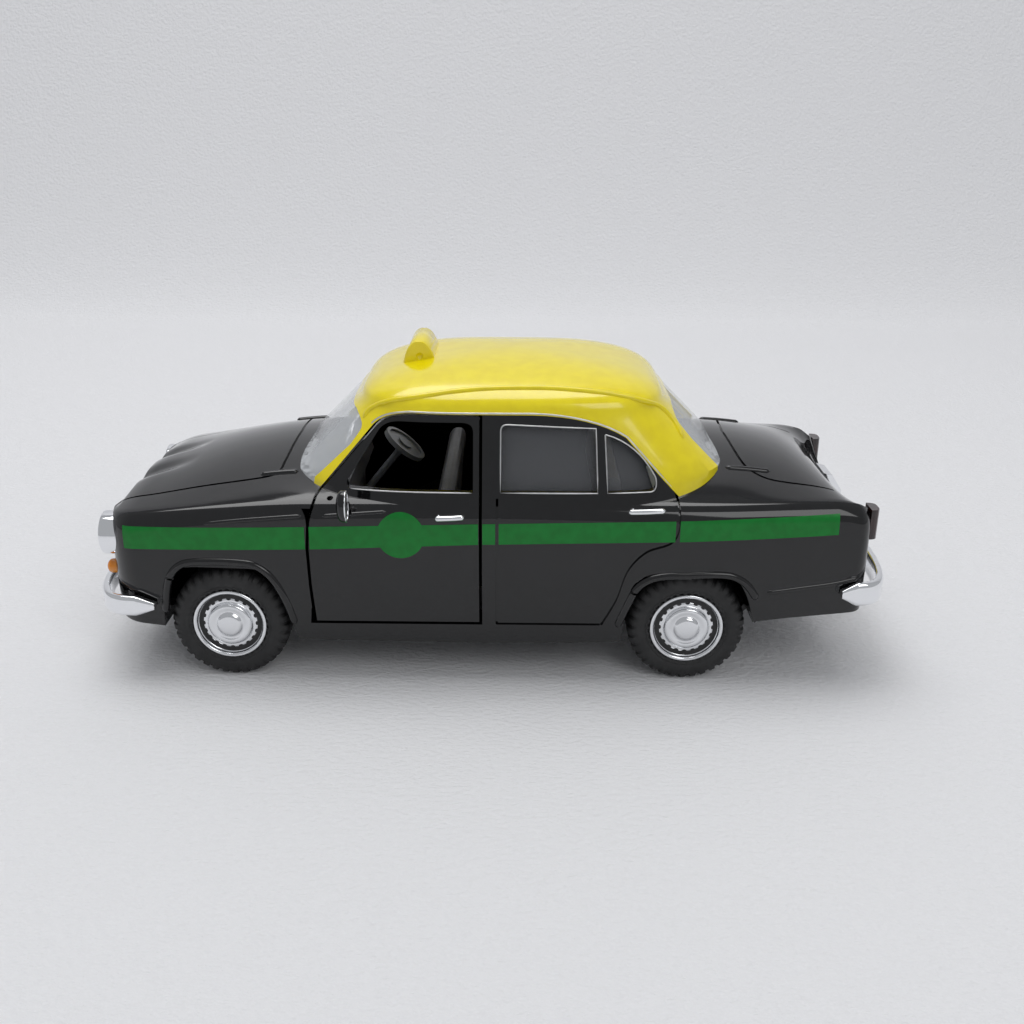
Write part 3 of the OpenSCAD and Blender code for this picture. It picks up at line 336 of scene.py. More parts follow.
def door_tops(g=0.0):
    """Side outline of both door tops with their frames, grown by g."""
    p = np.concatenate([[[-24.8, 25], [-24.8, 29]], bend([-16.8, 38.9], [-15.2, 40.7], [-11, 41]),
                        bend([6, 41], [14.5, 40.9], [19.4, 37.8]), [[27.6, 29], [27.6, 25]]])
    if g:
        mid = np.array([2.0, 33.0])
        d = p - mid
        p = mid + d * (1 + g / np.linalg.norm(d, axis=1, keepdims=True))
    return p


def door_outline(g=0.0):
    """Side outline of the whole front door, grown by g."""
    rear = -1 - GAP + g
    top = door_tops(g - GAP)[2:20]
    upper = top[top[:, 0] < rear]
    return np.concatenate([[[DOOR - g, 10.2 - g], [DOOR - 0.35 - g, 16], [DOOR - 0.5 - g, 22],
                            [DOOR - 0.2 - g, 26], [DOOR + 0.7 - g, 29.1]], upper,
                           [[rear, upper[-1, 1]], [rear, 10.2 - g]]])


rear_window = np.concatenate([[[1.6, SILL]], bend([1.6, 38.8], [1.6, 39.7], [2.6, 39.7]),
                              [[15.1, 39.2], [15.5, SILL]]])
quarter_light = np.concatenate([[[16.9, SILL], [16.4, 38.3]], bend([16.6, 38.3], [21, 37], [23.6, 32.6]),
                                bend([23.8, 32.2], [24.2, SILL], [23, SILL])])
front_window = np.concatenate([[[-20.3, SILL], [-20.5, 31.2]], bend([-16, 38.2], [-15.1, 39.7], [-12.5, 39.8]),
                               bend([-4, 39.9], [-2.3, 39.9], [-2.3, 38.6]), [[-2.3, SILL]]])


def arch(x, back_low):
    """Wheel arch outline: flat over the tyre, falling away to the skirts."""
    top = AXLE_Z + ARCH_R
    return np.concatenate([[[x - ARCH_R - 0.5, 0], [x - ARCH_R + 0.4, AXLE_Z + 5]],
                           bend([x - ARCH_R + 0.8, AXLE_Z + 6.4], [x - ARCH_R + 1.6, top], [x - ARCH_R + 6, top]),
                           bend([x + ARCH_R - 6, top], [x + ARCH_R - 2.4, top], [x + ARCH_R - 0.8, AXLE_Z + 4]),
                           [[x + ARCH_R + back_low, 0]]])


def undercut(side):
    """Plan of the hollow behind the wing's rear edge, where the door's front swings in."""
    return np.array([[-26.2, side * 22.3], [-28.5, side * 20], [-24.5, side * 20], [-24.5, side * 22.3]])


black_paint = material("black_paint", (0.0035, 0.0035, 0.004), 0.07, Coat_Weight=0.15, Coat_Roughness=0.03)
grain(black_paint, 260.0, 0.05, 0.00006, 2.0)
mottle(black_paint, 900.0, (0.0025, 0.0025, 0.003), (0.0042, 0.0042, 0.0048))

shell = combine(body_form(), body_form(WALL, False, False))
top_frame = combine(combine(cabin_form(), prism(door_tops()), "INTERSECT"), prism(door_outline(GAP)))
shell = combine(shell, top_frame, "UNION")
for cutter in (cabin_form(WALL, 25.0), prism(door_outline(GAP)), prism(arch(FRONT, 2.4)), prism(arch(REAR, 2.0)),
               prism(undercut(-1), 9.75, 27.8, "z"), prism(undercut(1), 9.75, 27.8, "z"),
               prism(rear_window), prism(quarter_light)):
    shell = combine(shell, cutter)
rear_door = smooth_path([(1.15, 9.9), (1.15, 18), (1.15, 29.5)], 30)
rear_foot = smooth_path([(1.15, 9.95), (8, 9.95), (16.4, 9.95)], 20)
rear_edge = smooth_path([(16.6, 9.9), (18.5, 13.9), (20.1, 18.9), (22.6, 21.8), (26.2, 23.3), (27.1, 25),
                         (27.2, 28.5), (26.6, 30.6)], 70)
for line in (rear_door, rear_foot, rear_edge):
    for y0, y1 in ((-26, -19), (19, 26)):
        shell = groove(shell, line, 0.36, 0.42, "y", y0, y1)
bonnet = np.array([(-30.5, 0), (-30.7, 6), (-31.0, 11), (-31.6, 14.2), (-34, 15), (-44, 15), (-52, 14.6), (-56, 13.6)])
boot = np.array([(36.5, 0), (37.2, 8), (38.3, 12.4), (40.6, 14.6), (44, 15.2), (48, 15), (51, 14.5)])
for line in (bonnet, boot):
    half = smooth_path(line, 70)
    full = np.concatenate([half[::-1] * [1, -1], half[1:]])
    shell = groove(shell, full, 0.4, 0.4, "z", 20, 45)
finish_solid(shell, "body_paint", black_paint, "car", "paint_black", "body_shell")


def over_skin(path, lift=0.0, side=-1):
    """Sets a side-view path (x, z) on the skin of one side: the lower body's or the cabin's."""
    x, z = path[:, 0], path[:, 1]
    y = np.where(z > flow(CREST, x) - 0.4, cabin_skin(x, z), np.maximum(skin_y(x, z), cabin_skin(x, z) * (z > 26)))
    return np.stack([x, side * (y + lift), z], -1)


def cord_mesh(name, path, radius, round_n=10):
    """A thin rounded moulding along a path of points, closed and tapered at both ends."""
    d = np.gradient(path, axis=0)
    d /= np.linalg.norm(d, axis=1, keepdims=True) + 1e-12
    up = np.where(np.abs(d[:, 2:3]) > 0.9, [[1.0, 0, 0]], [[0, 0, 1.0]])
    n1 = np.cross(d, up)
    n1 /= np.linalg.norm(n1, axis=1, keepdims=True)
    n2 = np.cross(d, n1)
    taper = np.ones(len(path))
    taper[[0, -1]], taper[[1, -2]] = 0.15, 0.7
    a = np.linspace(0, 2 * np.pi, round_n + 1)[:-1]
    rings = (path[:, None] + radius * taper[:, None, None]
             * (np.cos(a)[None, :, None] * n1[:, None] + np.sin(a)[None, :, None] * n2[:, None]))
    return loft(name, rings)


def join(name, parts):
    """One mesh from several, kept as separate shells."""
    verts, faces, count = [], [], 0
    for part in parts:
        co = np.empty(len(part.data.vertices) * 3)
        part.data.vertices.foreach_get("co", co)
        verts.append(co.reshape(-1, 3) / MM)
        faces += [[i + count for i in p.vertices] for p in part.data.polygons]
        count += len(part.data.vertices)
        bpy.data.objects.remove(part)
    return link_mesh(name, np.concatenate(verts), faces)


# Mouldings of the casting: wheel arch lips, the crease into the door, cowl and boot ridges
front_lip = smooth_path([(-48.4, 10.6), (-47.2, 16.2), (-45.4, 18.6), (-42.8, 19.4), (-35.2, 19.4), (-32.9, 18.4),
                         (-31.2, 16.4), (-29.6, 12.6), (-28.8, 9.4)], 90)
rear_lip = smooth_path([(18.9, 9.4), (20.3, 13.2), (21.7, 16.2), (24.2, 17.8), (29, 18.2), (34.8, 18.2),
                        (37.4, 16.9), (39.4, 14.2)], 80)
waist = smooth_path([(40.4, 15.3), (45, 15.9), (50.7, 16.6), (54.4, 17.4)], 40)
crease = smooth_path([(-41.5, 25.2), (-36, 25.9), (-30, 26.5), (-26.4, 26.8)], 30)
trim = []
for side in (-1, 1):
    for line, r in ((front_lip, 0.62), (rear_lip, 0.62), (waist, 0.45), (crease, 0.35)):
        trim.append(cord_mesh("lip", over_skin(line, -0.22, side), r))
    x = np.linspace(-34.2, -28.4, 24)
    trim.append(cord_mesh("ridge", np.stack([x, side * np.full(24, 14.1), top_z(x, 14.1) - 0.15], -1), 0.55))
    x = np.linspace(34.8, 41.8, 24)
    trim.append(cord_mesh("ridge", np.stack([x, side * np.full(24, 12.7), top_z(x, 12.7) - 0.15], -1), 0.5))
finish_solid(join("lips", trim), "body_mouldings", black_paint, "car", "paint_black", angle=60)

# ---- roof and roof sign ---------------------------------------------------------------
# The upper half of the same casting in bright yellow enamel, with a rain gutter over the
# doors, and a three-sided yellow sign pegged to it with a dimple in each end.
yellow_paint = material("yellow_paint", (0.80, 0.66, 0.0), 0.2, Coat_Weight=0.45, Coat_Roughness=0.05)
grain(yellow_paint, 220.0, 0.07, 0.00008, 2.0)
mottle(yellow_paint, 500.0, (0.78, 0.635, 0.0), (0.83, 0.69, 0.0))


def screen_outline(w, g=0.0):
    """Front view of a screen opening, w wide at its foot."""
    h, t = w / 2 - g, 40.4 - g
    right = np.concatenate([[[0, t]], bend([h - 5, t - 0.3], [h - 1.4, t - 0.9], [h - 0.9, t - 2.6]),
                            [[h - 0.4, 36], [h, 28.4]]])
    return np.concatenate([right, right[:0:-1] * [-1, 1]])


roof = combine(cabin_form(), cabin_form(WALL, 25.0))
for cutter in (body_form(flute=False), prism(door_tops()), prism(door_outline(GAP)),
               prism(screen_outline(34.2), -48, 0, "x"), prism(screen_outline(27.0), 0, 54, "x")):
    roof = combine(roof, cutter)
finish_solid(roof, "roof_paint", yellow_paint, "car", "paint_yellow", "roof_shell")
gutter = smooth_path([(-18.4, 39.3), (-17.4, 40.6), (-14.4, 42.2), (-10.1, 43.1), (-4, 43.9), (2.9, 44.2), (11, 44.1),
                      (19, 43.2), (24.2, 41.2), (26.8, 38.8), (28.2, 36.4)], 120)
finish_solid(join("gutter", [cord_mesh("gutter", np.stack([gutter[:, 0], s * (cabin_skin(gutter[:, 0], gutter[:, 1])
             - 0.12), gutter[:, 1]], -1), 0.42) for s in (-1, 1)]), "roof_gutter", yellow_paint, "car", "paint_yellow",
             angle=60)
SIGN_X, SIGN_FOOT = -10.9, 44.7
sign_side = np.concatenate([[[2.5, -2]], bend([2.5, 0.4], [1.5, 3.8], [0.1, 3.8], 12),
                            bend([-0.5, 3.8], [-1.9, 3.5], [-2.5, 0.4], 12), [[-2.5, -2]]])
inner_side = sign_side * [0.93, 1.0] + [0, -0.12]
sign_rings = np.stack([np.stack([SIGN_X + p[:, 0], np.full(len(p), y), SIGN_FOOT + p[:, 1]], -1)
                       for p, y in ((inner_side, 5.0), (sign_side, 4.75), (sign_side, -4.75), (inner_side, -5.0))])
sign = loft("sign", sign_rings)
for side in (-1, 1):
    a = np.linspace(0, 2 * np.pi, 33)[:-1]
    b = np.linspace(0.05, math.pi - 0.05, 14)
    ball = np.stack([SIGN_X + 0.62 * np.sin(b)[:, None] * np.cos(a), side * 5.3 + 0.62 * np.cos(b)[:, None]
                     + 0 * a, SIGN_FOOT + 1.5 + 0.62 * np.sin(b)[:, None] * np.sin(a)], -1)
    sign = combine(sign, loft("dimple", ball))
sign = combine(sign, cabin_form(0.02))
finish_solid(sign, "sign_paint", yellow_paint, "car", "paint_yellow", "roof_sign")

# ---- front doors ----------------------------------------------------------------------
# Separate castings that turn on a steel rod behind the wing's edge. Each has its window
# frame, a thin silver bead round the glass line as a painted edge highlight, a bar handle and an oval mirror.
PIN = (-22.9, 20.3)
for side, name in ((-1, "left"), (1, "right")):
    y0, y1 = (-40, -10) if side < 0 else (10, 40)
    outer = combine(body_form(flute=False), cabin_form(), "UNION")
    door = combine(outer, prism(door_outline(), y0, y1), "INTERSECT")
    inside = combine(body_form(WALL, False, False), cabin_form(WALL, 25.0), "UNION")
    door = combine(combine(door, inside), prism(front_window, *sorted((side * 40, 0))))
    box = np.array([[-30.5, 19.2 * side], [-30.5, 5 * side], [-22.5, 5 * side], [-22.5, 19.2 * side]])
    door = combine(door, prism(box, 0, 29.1, "z"))
    a = np.linspace(0, 2 * np.pi, 41)[:-1]
    knuckle = np.stack([PIN[0] + 0.85 * np.cos(a), side * PIN[1] + 0.85 * np.sin(a)], -1)
    arm = np.array([[PIN[0] - 0.85, side * 21.8], [PIN[0] - 0.85, side * 20.3], [PIN[0] + 0.85, side * 20.3],
                    [PIN[0] + 0.85, side * 21.8]])
    door = combine(combine(door, prism(arm, 16, 22, "z"), "UNION"), prism(knuckle, 16, 22, "z"), "UNION")
    bore = np.stack([PIN[0] + 0.45 * np.cos(a), side * PIN[1] + 0.45 * np.sin(a)], -1)
    door = combine(door, prism(bore, 0, 40, "z"))
    finish_solid(door, f"door_paint_{name}", black_paint, f"door_{name}", "paint_black", f"door_{name}")
    ridge = smooth_path([(-24.2, 26.8), (-20, 27.1), (-14.4, 27.5)], 24)
    finish_solid(cord_mesh("crease", over_skin(ridge, -0.2, side), 0.33), f"door_crease_{name}", black_paint,
                 f"door_{name}", "paint_black", angle=60)

chrome = material("chrome", (0.86, 0.87, 0.89), 0.06, 1.0)
grain(chrome, 90.0, 0.04, 0.0001, 2.0)
# Painted highlight: a bright metallic grey for thin beads that stand in for the light on rounded frame edges.
edge_highlight_silver = material("painted_edge_highlight", (0.62, 0.62, 0.62), 0.28, 0.9)
mottle(edge_highlight_silver, 900.0, (0.56, 0.56, 0.56), (0.68, 0.68, 0.67))


def handle(name, x, z, length, side, body, node):
    """A bar with rounded ends on two feet."""
    y = float(skin_y(x, z))
    t = np.linspace(0, 1, 26)
    bar = np.stack([x + (t - 0.5) * length, np.full(26, side * (y + 0.75)) - side * 0.12 * (2 * t - 1) ** 2,
                    z + 0.25 * (t - 0.5)], -1)
    parts = [cord_mesh("bar", bar, 0.42, 14)]
    for e in (-0.36, 0.36):
        foot = np.stack([np.full(6, x + e * length), side * np.linspace(y - 0.25, y + 0.6, 6), np.full(6, z)], -1)
        parts.append(cord_mesh("foot", foot, 0.32, 12))
    finish_solid(join(name, parts), name, chrome, body, "chrome", node, angle=60)


for side, name in ((-1, "left"), (1, "right")):
    handle(f"front_bar_{name}", -5.6, 27.0, 4.3, side, f"door_{name}", f"door_handle_{name}")
    handle(f"rear_bar_{name}", 22.5, 28.0, 5.4, side, "car", f"rear_handle_{name}")
    # Oval mirror: a squashed dome head with a bright rim, on a short stalk
    t, a = np.linspace(0.02, 1, 12)[:, None], np.linspace(0, 2 * np.pi, 41)[None, :-1]
    bulge = np.sqrt(1 - t**2)
    at = np.array([-20.3, side * 24.5, 29.3])
    back = np.stack([at[0] - 0.2 - 0.85 * bulge + 0 * a, at[1] + 1.7 * t * np.cos(a), at[2] + 2.35 * t * np.sin(a)], -1)
    face = np.stack([at[0] + 0.35 + 0 * a * t, at[1] + 1.7 * t * np.cos(a), at[2] + 2.35 * t * np.sin(a)], -1)[::-1]
    head = loft("head", np.concatenate([back, face]))
    x = np.full(10, at[0])
    stalk = cord_mesh("stalk", np.stack([x, side * np.linspace(20.6, 23.6, 10), np.linspace(28.4, 28.9, 10)], -1), 0.42)
    finish_solid(join("mirror", [head, stalk]), f"mirror_case_{name}", black_paint, f"door_{name}", "black_plastic",
                 f"mirror_{name}", angle=50)
    rim = np.stack([at[0] + 0.38 + 0 * a[0], at[1] + 1.6 * np.cos(a[0]), at[2] + 2.22 * np.sin(a[0])], -1)
    rim_path = np.concatenate([rim, rim[:1]])
    finish_solid(cord_mesh("rim", rim_path, 0.13), f"mirror_rim_{name}", chrome, f"door_{name}", "chrome", angle=60)

# ---- stripe, door disc and painted edge highlights ------------------------------------
# Tampo-printed paint: a green band along each side at handle height with a bare green disc
# on the front door. Thin silver beads round the window frames are painted highlights, standing
# in for the light caught on the frames' rounded edges.
green = material("green_stripe", (0.0, 0.16, 0.018), 0.24, Specular_IOR_Level=0.35)
mottle(green, 700.0, (0.0, 0.15, 0.016), (0.0, 0.175, 0.02))
BAND_LOW = np.array([[-53.5, 21.0], [-24.6, 21.9], [-1.2, 22.8], [28.9, 23.5], [50.4, 24.3]])
BAND_TOP = np.array([[-53.5, 24.4], [-24.6, 25.3], [-1.2, 25.9], [28.9, 26.6], [50.4, 27.4]])


def decal(name, x, low_z, high_z, side, body, mat, rows=10, lift=0.035):
    """A thin printed skin: a grid between two lines, laid on the lower body's side."""
    t = np.linspace(0, 1, rows)[:, None]
    z = low_z + (high_z - low_z) * t
    xs = np.broadcast_to(x, z.shape)
    face = np.stack([xs, side * (skin_y(xs, z) + lift), z], -1)
    back = face - [0, side * (lift + 0.06), 0]
    n, m = face.shape[1], rows
    ring = lambda g: np.concatenate([g[0], g[1:-1, -1], g[-1, ::-1], g[-2:0:-1, 0]])
    i, j = np.meshgrid(np.arange(m - 1), np.arange(n - 1), indexing="ij")
    q = (i * n + j).ravel()
    front_q = np.stack([q, q + 1, q + n + 1, q + n], -1)
    back_q = front_q[:, ::-1] + n * m
    index = np.arange(n * m).reshape(m, n)
    edge = ring(index[..., None])[:, 0]
    nxt = np.roll(edge, -1)
    walls = np.stack([edge, edge + n * m, nxt + n * m, nxt], -1)
    faces = np.concatenate([front_q, back_q, walls])
    faces = faces if side < 0 else faces[:, ::-1]
    obj = link_mesh(name, np.concatenate([face.reshape(-1, 3), back.reshape(-1, 3)]), faces.tolist())
    return finish_solid(obj, name, mat, body, "paint_black", angle=50)


disc_c = np.array([-12.7, 24.1])
for side, name in ((-1, "left"), (1, "right")):
    for tag, x0, x1, body in (("wing", -53.4, -26.5, "car"), ("door", -25.85, -1.55, f"door_{name}"),
                              ("post", -0.95, 0.9, "car"), ("panel", 1.4, 26.75, "car"), ("tail", 27.4, 50.4, "car")):
        x = np.linspace(x0, x1, max(6, int((x1 - x0) * 1.6)))
        decal(f"stripe_{tag}_{name}", x, np.interp(x, *BAND_LOW.T), np.interp(x, *BAND_TOP.T), side, body, green)
    x = disc_c[0] - 3.45 * np.cos(np.linspace(0.02, math.pi - 0.02, 60))
    reach = np.sqrt(np.maximum(0, 3.45**2 - (x - disc_c[0]) ** 2))
    decal(f"disc_{name}", x, disc_c[1] - reach, disc_c[1] + reach, side, f"door_{name}", green, 14, 0.07)

# Painted highlights: silver beads round the rear windows, along the front door sill and over the door tops, standing in
# for the light on rounded edges.
lines = {"car": [], "door_left": [], "door_right": []}
for side, name in ((-1, "left"), (1, "right")):
    def on_cabin(path, lift=-0.02):
        """Sets a side-view path on the cabin's side."""
        return np.stack([path[:, 0], side * (cabin_skin(path[:, 0], path[:, 1]) + lift), path[:, 1]], -1)
    sill = np.stack([np.linspace(-20, -2.5, 30), np.full(30, SILL - 0.05)], -1)
    lines[f"door_{name}"].append(cord_mesh("line", on_cabin(sill), 0.11, 8))
    for outline in (rear_window, quarter_light):
        loop = np.concatenate([outline, outline[:1]])
        keep = np.concatenate([np.linspace(loop[i], loop[i + 1], 6)[:-1] for i in range(len(loop) - 1)]
                              + [loop[-1:]])
        lines["car"].append(cord_mesh("line", on_cabin(keep), 0.11, 8))
    arc = door_tops(0.25)[2:-1]
    rear_arc = np.concatenate([np.linspace(arc[i], arc[i + 1], 8)[:-1] for i in range(len(arc) - 1)])
    rear_arc = rear_arc[rear_arc[:, 1] > 29.4]
    lines["car"].append(cord_mesh("line", on_cabin(rear_arc, -0.05), 0.14, 8))
for body, parts in lines.items():
    finish_solid(join("lines", parts), f"frame_edge_highlights_{body}", edge_highlight_silver, body, "chrome", angle=60)

# ---- windows --------------------------------------------------------------------------
# Clear mouldings: a curved windscreen and rear window let into the roof, and one flat strip
# inside each side. The front door windows are open. The film is faintly grey.
clear = material("clear_moulding", (0.86, 0.89, 0.92), 0.08, IOR=1.46, Alpha=0.34, Specular_IOR_Level=0.6)
grain(clear, 120.0, 0.12, 0.0002, 2.0)
smoke = material("side_moulding", (0.35, 0.36, 0.38), 0.06, IOR=1.46, Alpha=0.16)
grain(smoke, 160.0, 0.1, 0.0001, 2.0)
for name, node, w, x0, x1 in (("windscreen_clear", "windscreen", 34.2, -48, 0),
                              ("back_clear", "rear_window", 27.0, 0, 54)):
    pane = combine(cabin_form(0.1), cabin_form(0.9, 25.5))
    pane = combine(pane, prism(screen_outline(w, 0.1), x0, x1, "x"), "INTERSECT")
    pane = combine(combine(pane, body_form(flute=False)), prism(door_tops(0.3)))
    finish_solid(pane, name, clear, "car", "clear_plastic", node)
for node in ("side_glass_left", "side_glass_right"):
    nodes[node].data.materials.clear()
    nodes[node].data.materials.append(smoke)

# ---- wheels ---------------------------------------------------------------------------
# Soft rubber tyres with blocks cut in the shoulders on vacuum-plated rims. The plated disc
# has a rolled lip, stepped rings, a ring of slots and a domed cap.
rubber = material("tyre_rubber", (0.013, 0.013, 0.0135), 0.62)
grain(rubber, 1500.0, 0.35, 0.00008, 3.0)
mottle(rubber, 500.0, (0.011, 0.011, 0.0115), (0.02, 0.02, 0.0205))
plated = material("plated_rim", (0.80, 0.81, 0.83), 0.14, 1.0)
grain(plated, 350.0, 0.06, 0.00008, 2.0)


def turned(name, profile, x, side, angles, wobble=None):
    """A profile (out along the axle, radius) turned about the axle; wobble shifts the radius."""
    a = np.asarray(angles)[None, :]
    out, r = profile[:, :1] + 0 * a, profile[:, 1:] + 0 * a
    if wobble is not None:
        r = r - wobble(profile[:, :1], a)
    rings = np.stack([x + r * np.cos(a), side * (18.3 + out), AXLE_Z + r * np.sin(a)], -1)
    obj = loft(name, rings if side < 0 else rings[::-1])
    return obj


tyre_line = np.concatenate([[[-2.1, 5.5]], bend([-2.7, 6.5], [-2.7, 8.5], [-1.5, 8.8], 10),
                            np.linspace([-1.5, 8.8], [1.5, 8.8], 9)[1:-1], bend([1.5, 8.8], [2.7, 8.5], [2.7, 6.5], 12),
                            [[2.55, 6.2], [2.62, 6.05], [2.5, 5.75], [2.1, 5.5]]])


def blocks(out, a):
    """Depth of the tread: slots across both shoulders, and two grooves round the middle."""
    cut = np.clip(np.cos(a * 34) * 6 - 2.6, 0, 1)
    shoulder = np.clip((np.abs(out) - 1.0) / 0.5, 0, 1) * np.clip((2.68 - np.abs(out)) / 0.25, 0, 1)
    ring = np.exp(-((np.abs(out) - 0.55) / 0.22) ** 2)
    return 0.34 * cut * shoulder + 0.3 * ring


rim_line = np.array([[-2.1, 5.5], [2.2, 5.5], [2.45, 5.52], [2.68, 5.4], [2.7, 5.15], [2.55, 4.95], [2.2, 4.85],
                     [2.02, 4.6], [2.0, 4.2], [2.12, 4.0], [2.2, 3.75], [2.18, 3.5], [2.35, 3.35], [2.62, 3.2], [2.75, 3.0],
                     [2.78, 2.7], [2.72, 2.45], [2.66, 2.2], [2.68, 1.95], [2.85, 1.8], [3.02, 1.55], [3.1, 1.2],
                     [3.16, 0.7], [3.19, 0.04]])
rim_line = smooth_path(rim_line, 90)
spin = np.linspace(0, 2 * np.pi, 273)[:-1]
for x, end in ((FRONT, "front"), (REAR, "rear")):
    for side, name in ((-1, "left"), (1, "right")):
        tyre = turned("tyre", tyre_line, x, side, spin, blocks)
        finish_solid(tyre, f"tyre_{end}_{name}_tread", rubber, f"{end}_wheels", "rubber", f"tyre_{end}_{name}", angle=40)
        rim = turned("rim", rim_line, x, side, spin[::2])
        for i in range(20):
            a = 2 * math.pi * i / 20
            slot_at = np.array([x + 3.95 * math.cos(a), side * 20.42, AXLE_Z + 3.95 * math.sin(a)])
            tangent = np.array([-math.sin(a), 0, math.cos(a)])
            b = np.linspace(0, 2 * np.pi, 13)[:-1]
            radial = np.array([math.cos(a), 0, math.sin(a)])
            ring = np.cos(b)[:, None] * tangent * 0.34 + np.sin(b)[:, None] * radial * 0.2
            depth = np.array([0, side * 0.5, 0])
            slot = loft("slot", np.stack([slot_at + ring - depth, slot_at + ring + depth])[::side])
            rim = combine(rim, slot)
        finish_solid(rim, f"hub_{end}_{name}", plated, f"{end}_wheels", "chrome", f"rim_{end}_{name}", angle=40)

# ---- bumpers, lamps and plates --------------------------------------------------------
# Plated plastic bars with rolled edges wrap both ends; the lamps are plated bezels with
# ribbed clear lenses, amber side lamps below them and dark tail lamps.


def bumper(name, tip, way, reach, z, h, face, node):
    """A crowned bar carried round the end of the car along a squared half oval."""
    t = 0.7
    root = tip - way * reach
    a = np.radians(np.linspace(-90, 90, 121))
    out = (reach - t) * np.abs(np.cos(a)) ** 0.42
    beside = lambda x: np.where(way * (face - x) > 0, skin_y(x, z) + 0.15 + t, 0)
    y = np.sign(np.sin(a)) * np.maximum(beside(root) * np.abs(np.sin(a)) ** 0.62, beside(root + way * out))
    path = np.stack([root + way * out, y], -1)
    d = np.gradient(path, axis=0)
    d /= np.linalg.norm(d, axis=1, keepdims=True)
    normal = np.stack([d[:, 1], -d[:, 0]], -1) * way
    b = np.linspace(0, 2 * np.pi, 29)[:-1]
    wide = np.sign(np.cos(b)) * np.abs(np.cos(b)) ** 0.8 * t
    tall = np.sign(np.sin(b)) * np.abs(np.sin(b)) ** 0.55 * h / 2
    wide = wide - 0.16 * np.exp(-(tall / 0.35) ** 2) * (wide > 0)
    s = np.abs(np.linspace(-1, 1, 121))
    taper = np.sqrt(np.clip(1 - np.clip((s - 0.965) / 0.037, 0, 1) ** 2, 0.02, 1))[:, None]
    rings = np.stack([path[:, :1] + normal[:, :1] * wide, path[:, 1:] + normal[:, 1:] * wide, z + tall * taper], -1)
    parts = [loft("bar", rings if way > 0 else rings[::-1])]
    for side in (-1, 1):
        iron = np.array([[min(face, tip - way * t), side * 9 - 1], [max(face, tip - way * t), side * 9 - 1],
                         [max(face, tip - way * t), side * 9 + 1], [min(face, tip - way * t), side * 9 + 1]])
        parts.append(prism(iron, z - 0.8, z + 0.8, "z"))
    finish_solid(join(name, parts), name, chrome, "car", "chrome", node, angle=40)


bumper("bumper_front", -60.0, -1, 10.6, 12.3, 3.2, NOSE, "front_bumper")
bumper("bumper_rear", 60.0, 1, 8.4, 15.3, 3.7, TAIL, "rear_bumper")

lens_clear = material("lamp_lens", (0.85, 0.88, 0.9), 0.1, IOR=1.5, Alpha=0.55)
ribs = lens_clear.node_tree.nodes.new("ShaderNodeTexWave")
ribs.bands_direction = "Y"
ribs.inputs["Scale"].default_value = 900.0
rib_place = lens_clear.node_tree.nodes.new("ShaderNodeTexCoord")
rib_bump = lens_clear.node_tree.nodes.new("ShaderNodeBump")
rib_bump.inputs["Distance"].default_value = 0.0002
lens_clear.node_tree.links.new(rib_place.outputs["Object"], ribs.inputs["Vector"])
lens_clear.node_tree.links.new(ribs.outputs["Fac"], rib_bump.inputs["Height"])
lens_clear.node_tree.links.new(rib_bump.outputs["Normal"],
                               lens_clear.node_tree.nodes["Principled BSDF"].inputs["Normal"])
amber = material("amber_lens", (0.75, 0.26, 0.02), 0.12, Coat_Weight=0.3)
mottle(amber, 600.0, (0.7, 0.22, 0.015), (0.8, 0.3, 0.03))
dark_lens = material("tail_lens", (0.02, 0.012, 0.012), 0.16, Coat_Weight=0.4)
mottle(dark_lens, 700.0, (0.016, 0.01, 0.01), (0.035, 0.012, 0.012))


def facing(name, profile, x, y, z):
    """A profile (forward distance, radius) turned about a line along the car, facing forward."""
    a = np.linspace(0, 2 * np.pi, 73)[:-1][None]
    rings = np.stack([x - profile[:, :1] + 0 * a, y + profile[:, 1:] * np.cos(a), z + profile[:, 1:] * np.sin(a)], -1)
    return loft(name, rings[::-1])


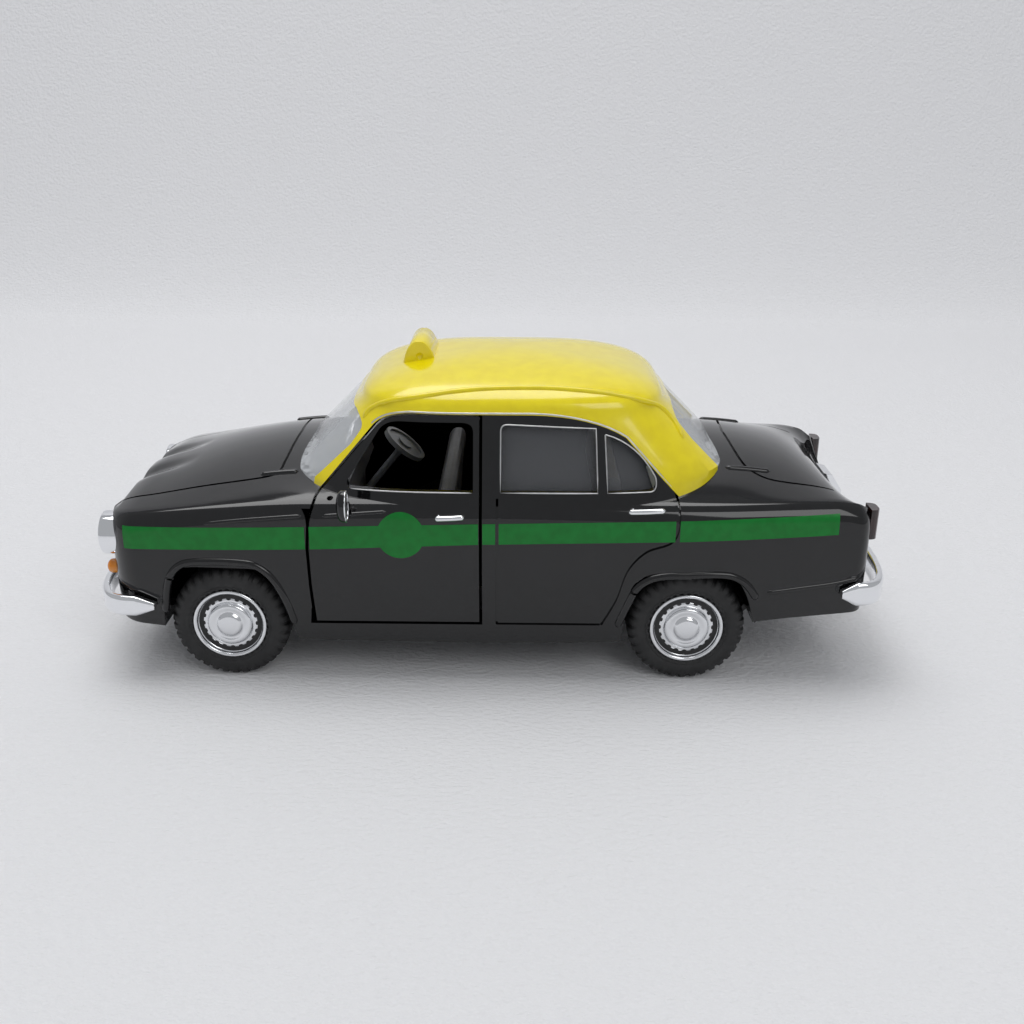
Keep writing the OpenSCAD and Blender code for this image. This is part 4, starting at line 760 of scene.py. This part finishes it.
bezel_line = np.array([[-2.8, 3.3], [-0.4, 3.3], [-0.1, 3.22], [0.0, 3.05], [-0.05, 2.86], [-0.3, 2.72], [-1.6, 2.7],
                       [-2.8, 2.7]])
dome = np.linspace(0, 1, 13)
lens_line = np.stack([np.append(-1.1, -0.45 + 0.7 * np.sqrt(dome)),
                      np.append(2.69, 2.69 * np.sqrt(np.clip(1 - dome, 2e-4, 1)))], -1)
for side, name in ((-1, "left"), (1, "right")):
    bezel = facing("bezel", bezel_line, -57.6, side * 16.2, 21.7)
    a = np.linspace(0, 2 * np.pi, 73)[:-1]
    hole = np.stack([side * 16.2 + 2.7 * np.cos(a), 21.7 + 2.7 * np.sin(a)], -1)
    bezel = combine(combine(bezel, prism(hole, -60, -50, "x")), body_form(flute=False))
    finish_solid(bezel, f"bezel_{name}", chrome, "car", "chrome", f"headlamp_rim_{name}", angle=40)
    lens = facing("lens", lens_line, -57.4, side * 16.2, 21.7)
    finish_solid(lens, f"lens_{name}", lens_clear, "car", "clear_plastic", f"headlamp_lens_{name}", angle=60)
    t = np.linspace(0, 1, 12)
    bulb = facing("bulb", np.concatenate([[[-1.0, 1.1]], np.stack([0.5 + 0.8 * np.sqrt(t), 1.1 * np.sqrt(np.clip(
        1 - t, 1e-3, 1))], -1)]), NOSE, side * 16.7, 16.4)
    finish_solid(combine(bulb, body_form(flute=False)), f"side_lamp_{name}", amber, "car", "amber_plastic",
                 f"sidelight_{name}", angle=50)
    nodes[f"tail_lamp_{name}"].data.materials.clear()
    nodes[f"tail_lamp_{name}"].data.materials.append(dark_lens)
plate_paint = material("plate_white", (0.78, 0.77, 0.72), 0.35)
mottle(plate_paint, 300.0, (0.74, 0.73, 0.68), (0.8, 0.79, 0.75))
plate_yellow = material("plate_yellow", (0.78, 0.62, 0.03), 0.35)
mottle(plate_yellow, 300.0, (0.74, 0.58, 0.02), (0.8, 0.66, 0.05))

# ---- interior, chassis and motor ------------------------------------------------------
# Grey moulded seats and dashboard, a solid wheel, a black base plate with two screws and the
# spring motor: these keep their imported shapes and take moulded, steel and nylon finishes.
grey_plastic = material("grey_moulding", (0.075, 0.075, 0.08), 0.42)
grain(grey_plastic, 900.0, 0.4, 0.00008, 3.0)
mottle(grey_plastic, 250.0, (0.065, 0.065, 0.07), (0.09, 0.09, 0.095))
wheel_plastic = material("wheel_moulding", (0.2, 0.21, 0.225), 0.3)
grain(wheel_plastic, 900.0, 0.3, 0.00006, 3.0)
black_plastic = material("base_moulding", (0.016, 0.016, 0.017), 0.5)
grain(black_plastic, 1100.0, 0.5, 0.0001, 3.0)
steel = material("ground_steel", (0.5, 0.5, 0.51), 0.3, 1.0)
grain(steel, 500.0, 0.2, 0.00005, 2.0, (8.0, 1.0, 8.0))
nylon = material("nylon", (0.72, 0.72, 0.69), 0.4, Subsurface_Weight=0.1)
grain(nylon, 600.0, 0.2, 0.00005, 2.0)
for mat, names in ((grey_plastic, ("interior_tub",)), (wheel_plastic, ("steering_wheel",)),
                   (black_plastic, ("base_plate",)), (chrome, ("grille", "boot_handle")),
                   (plate_paint, ("front_plate",)), (plate_yellow, ("rear_plate",)),
                   (steel, ("door_pin_left", "door_pin_right", "front_axle", "rear_axle", "mainspring",
                            "base_screws")),
                   (nylon, ("motor_housing", "axle_pinion", "idler_gear", "spring_drum"))):
    for node in names:
        nodes[node].data.materials.clear()
        nodes[node].data.materials.append(mat)
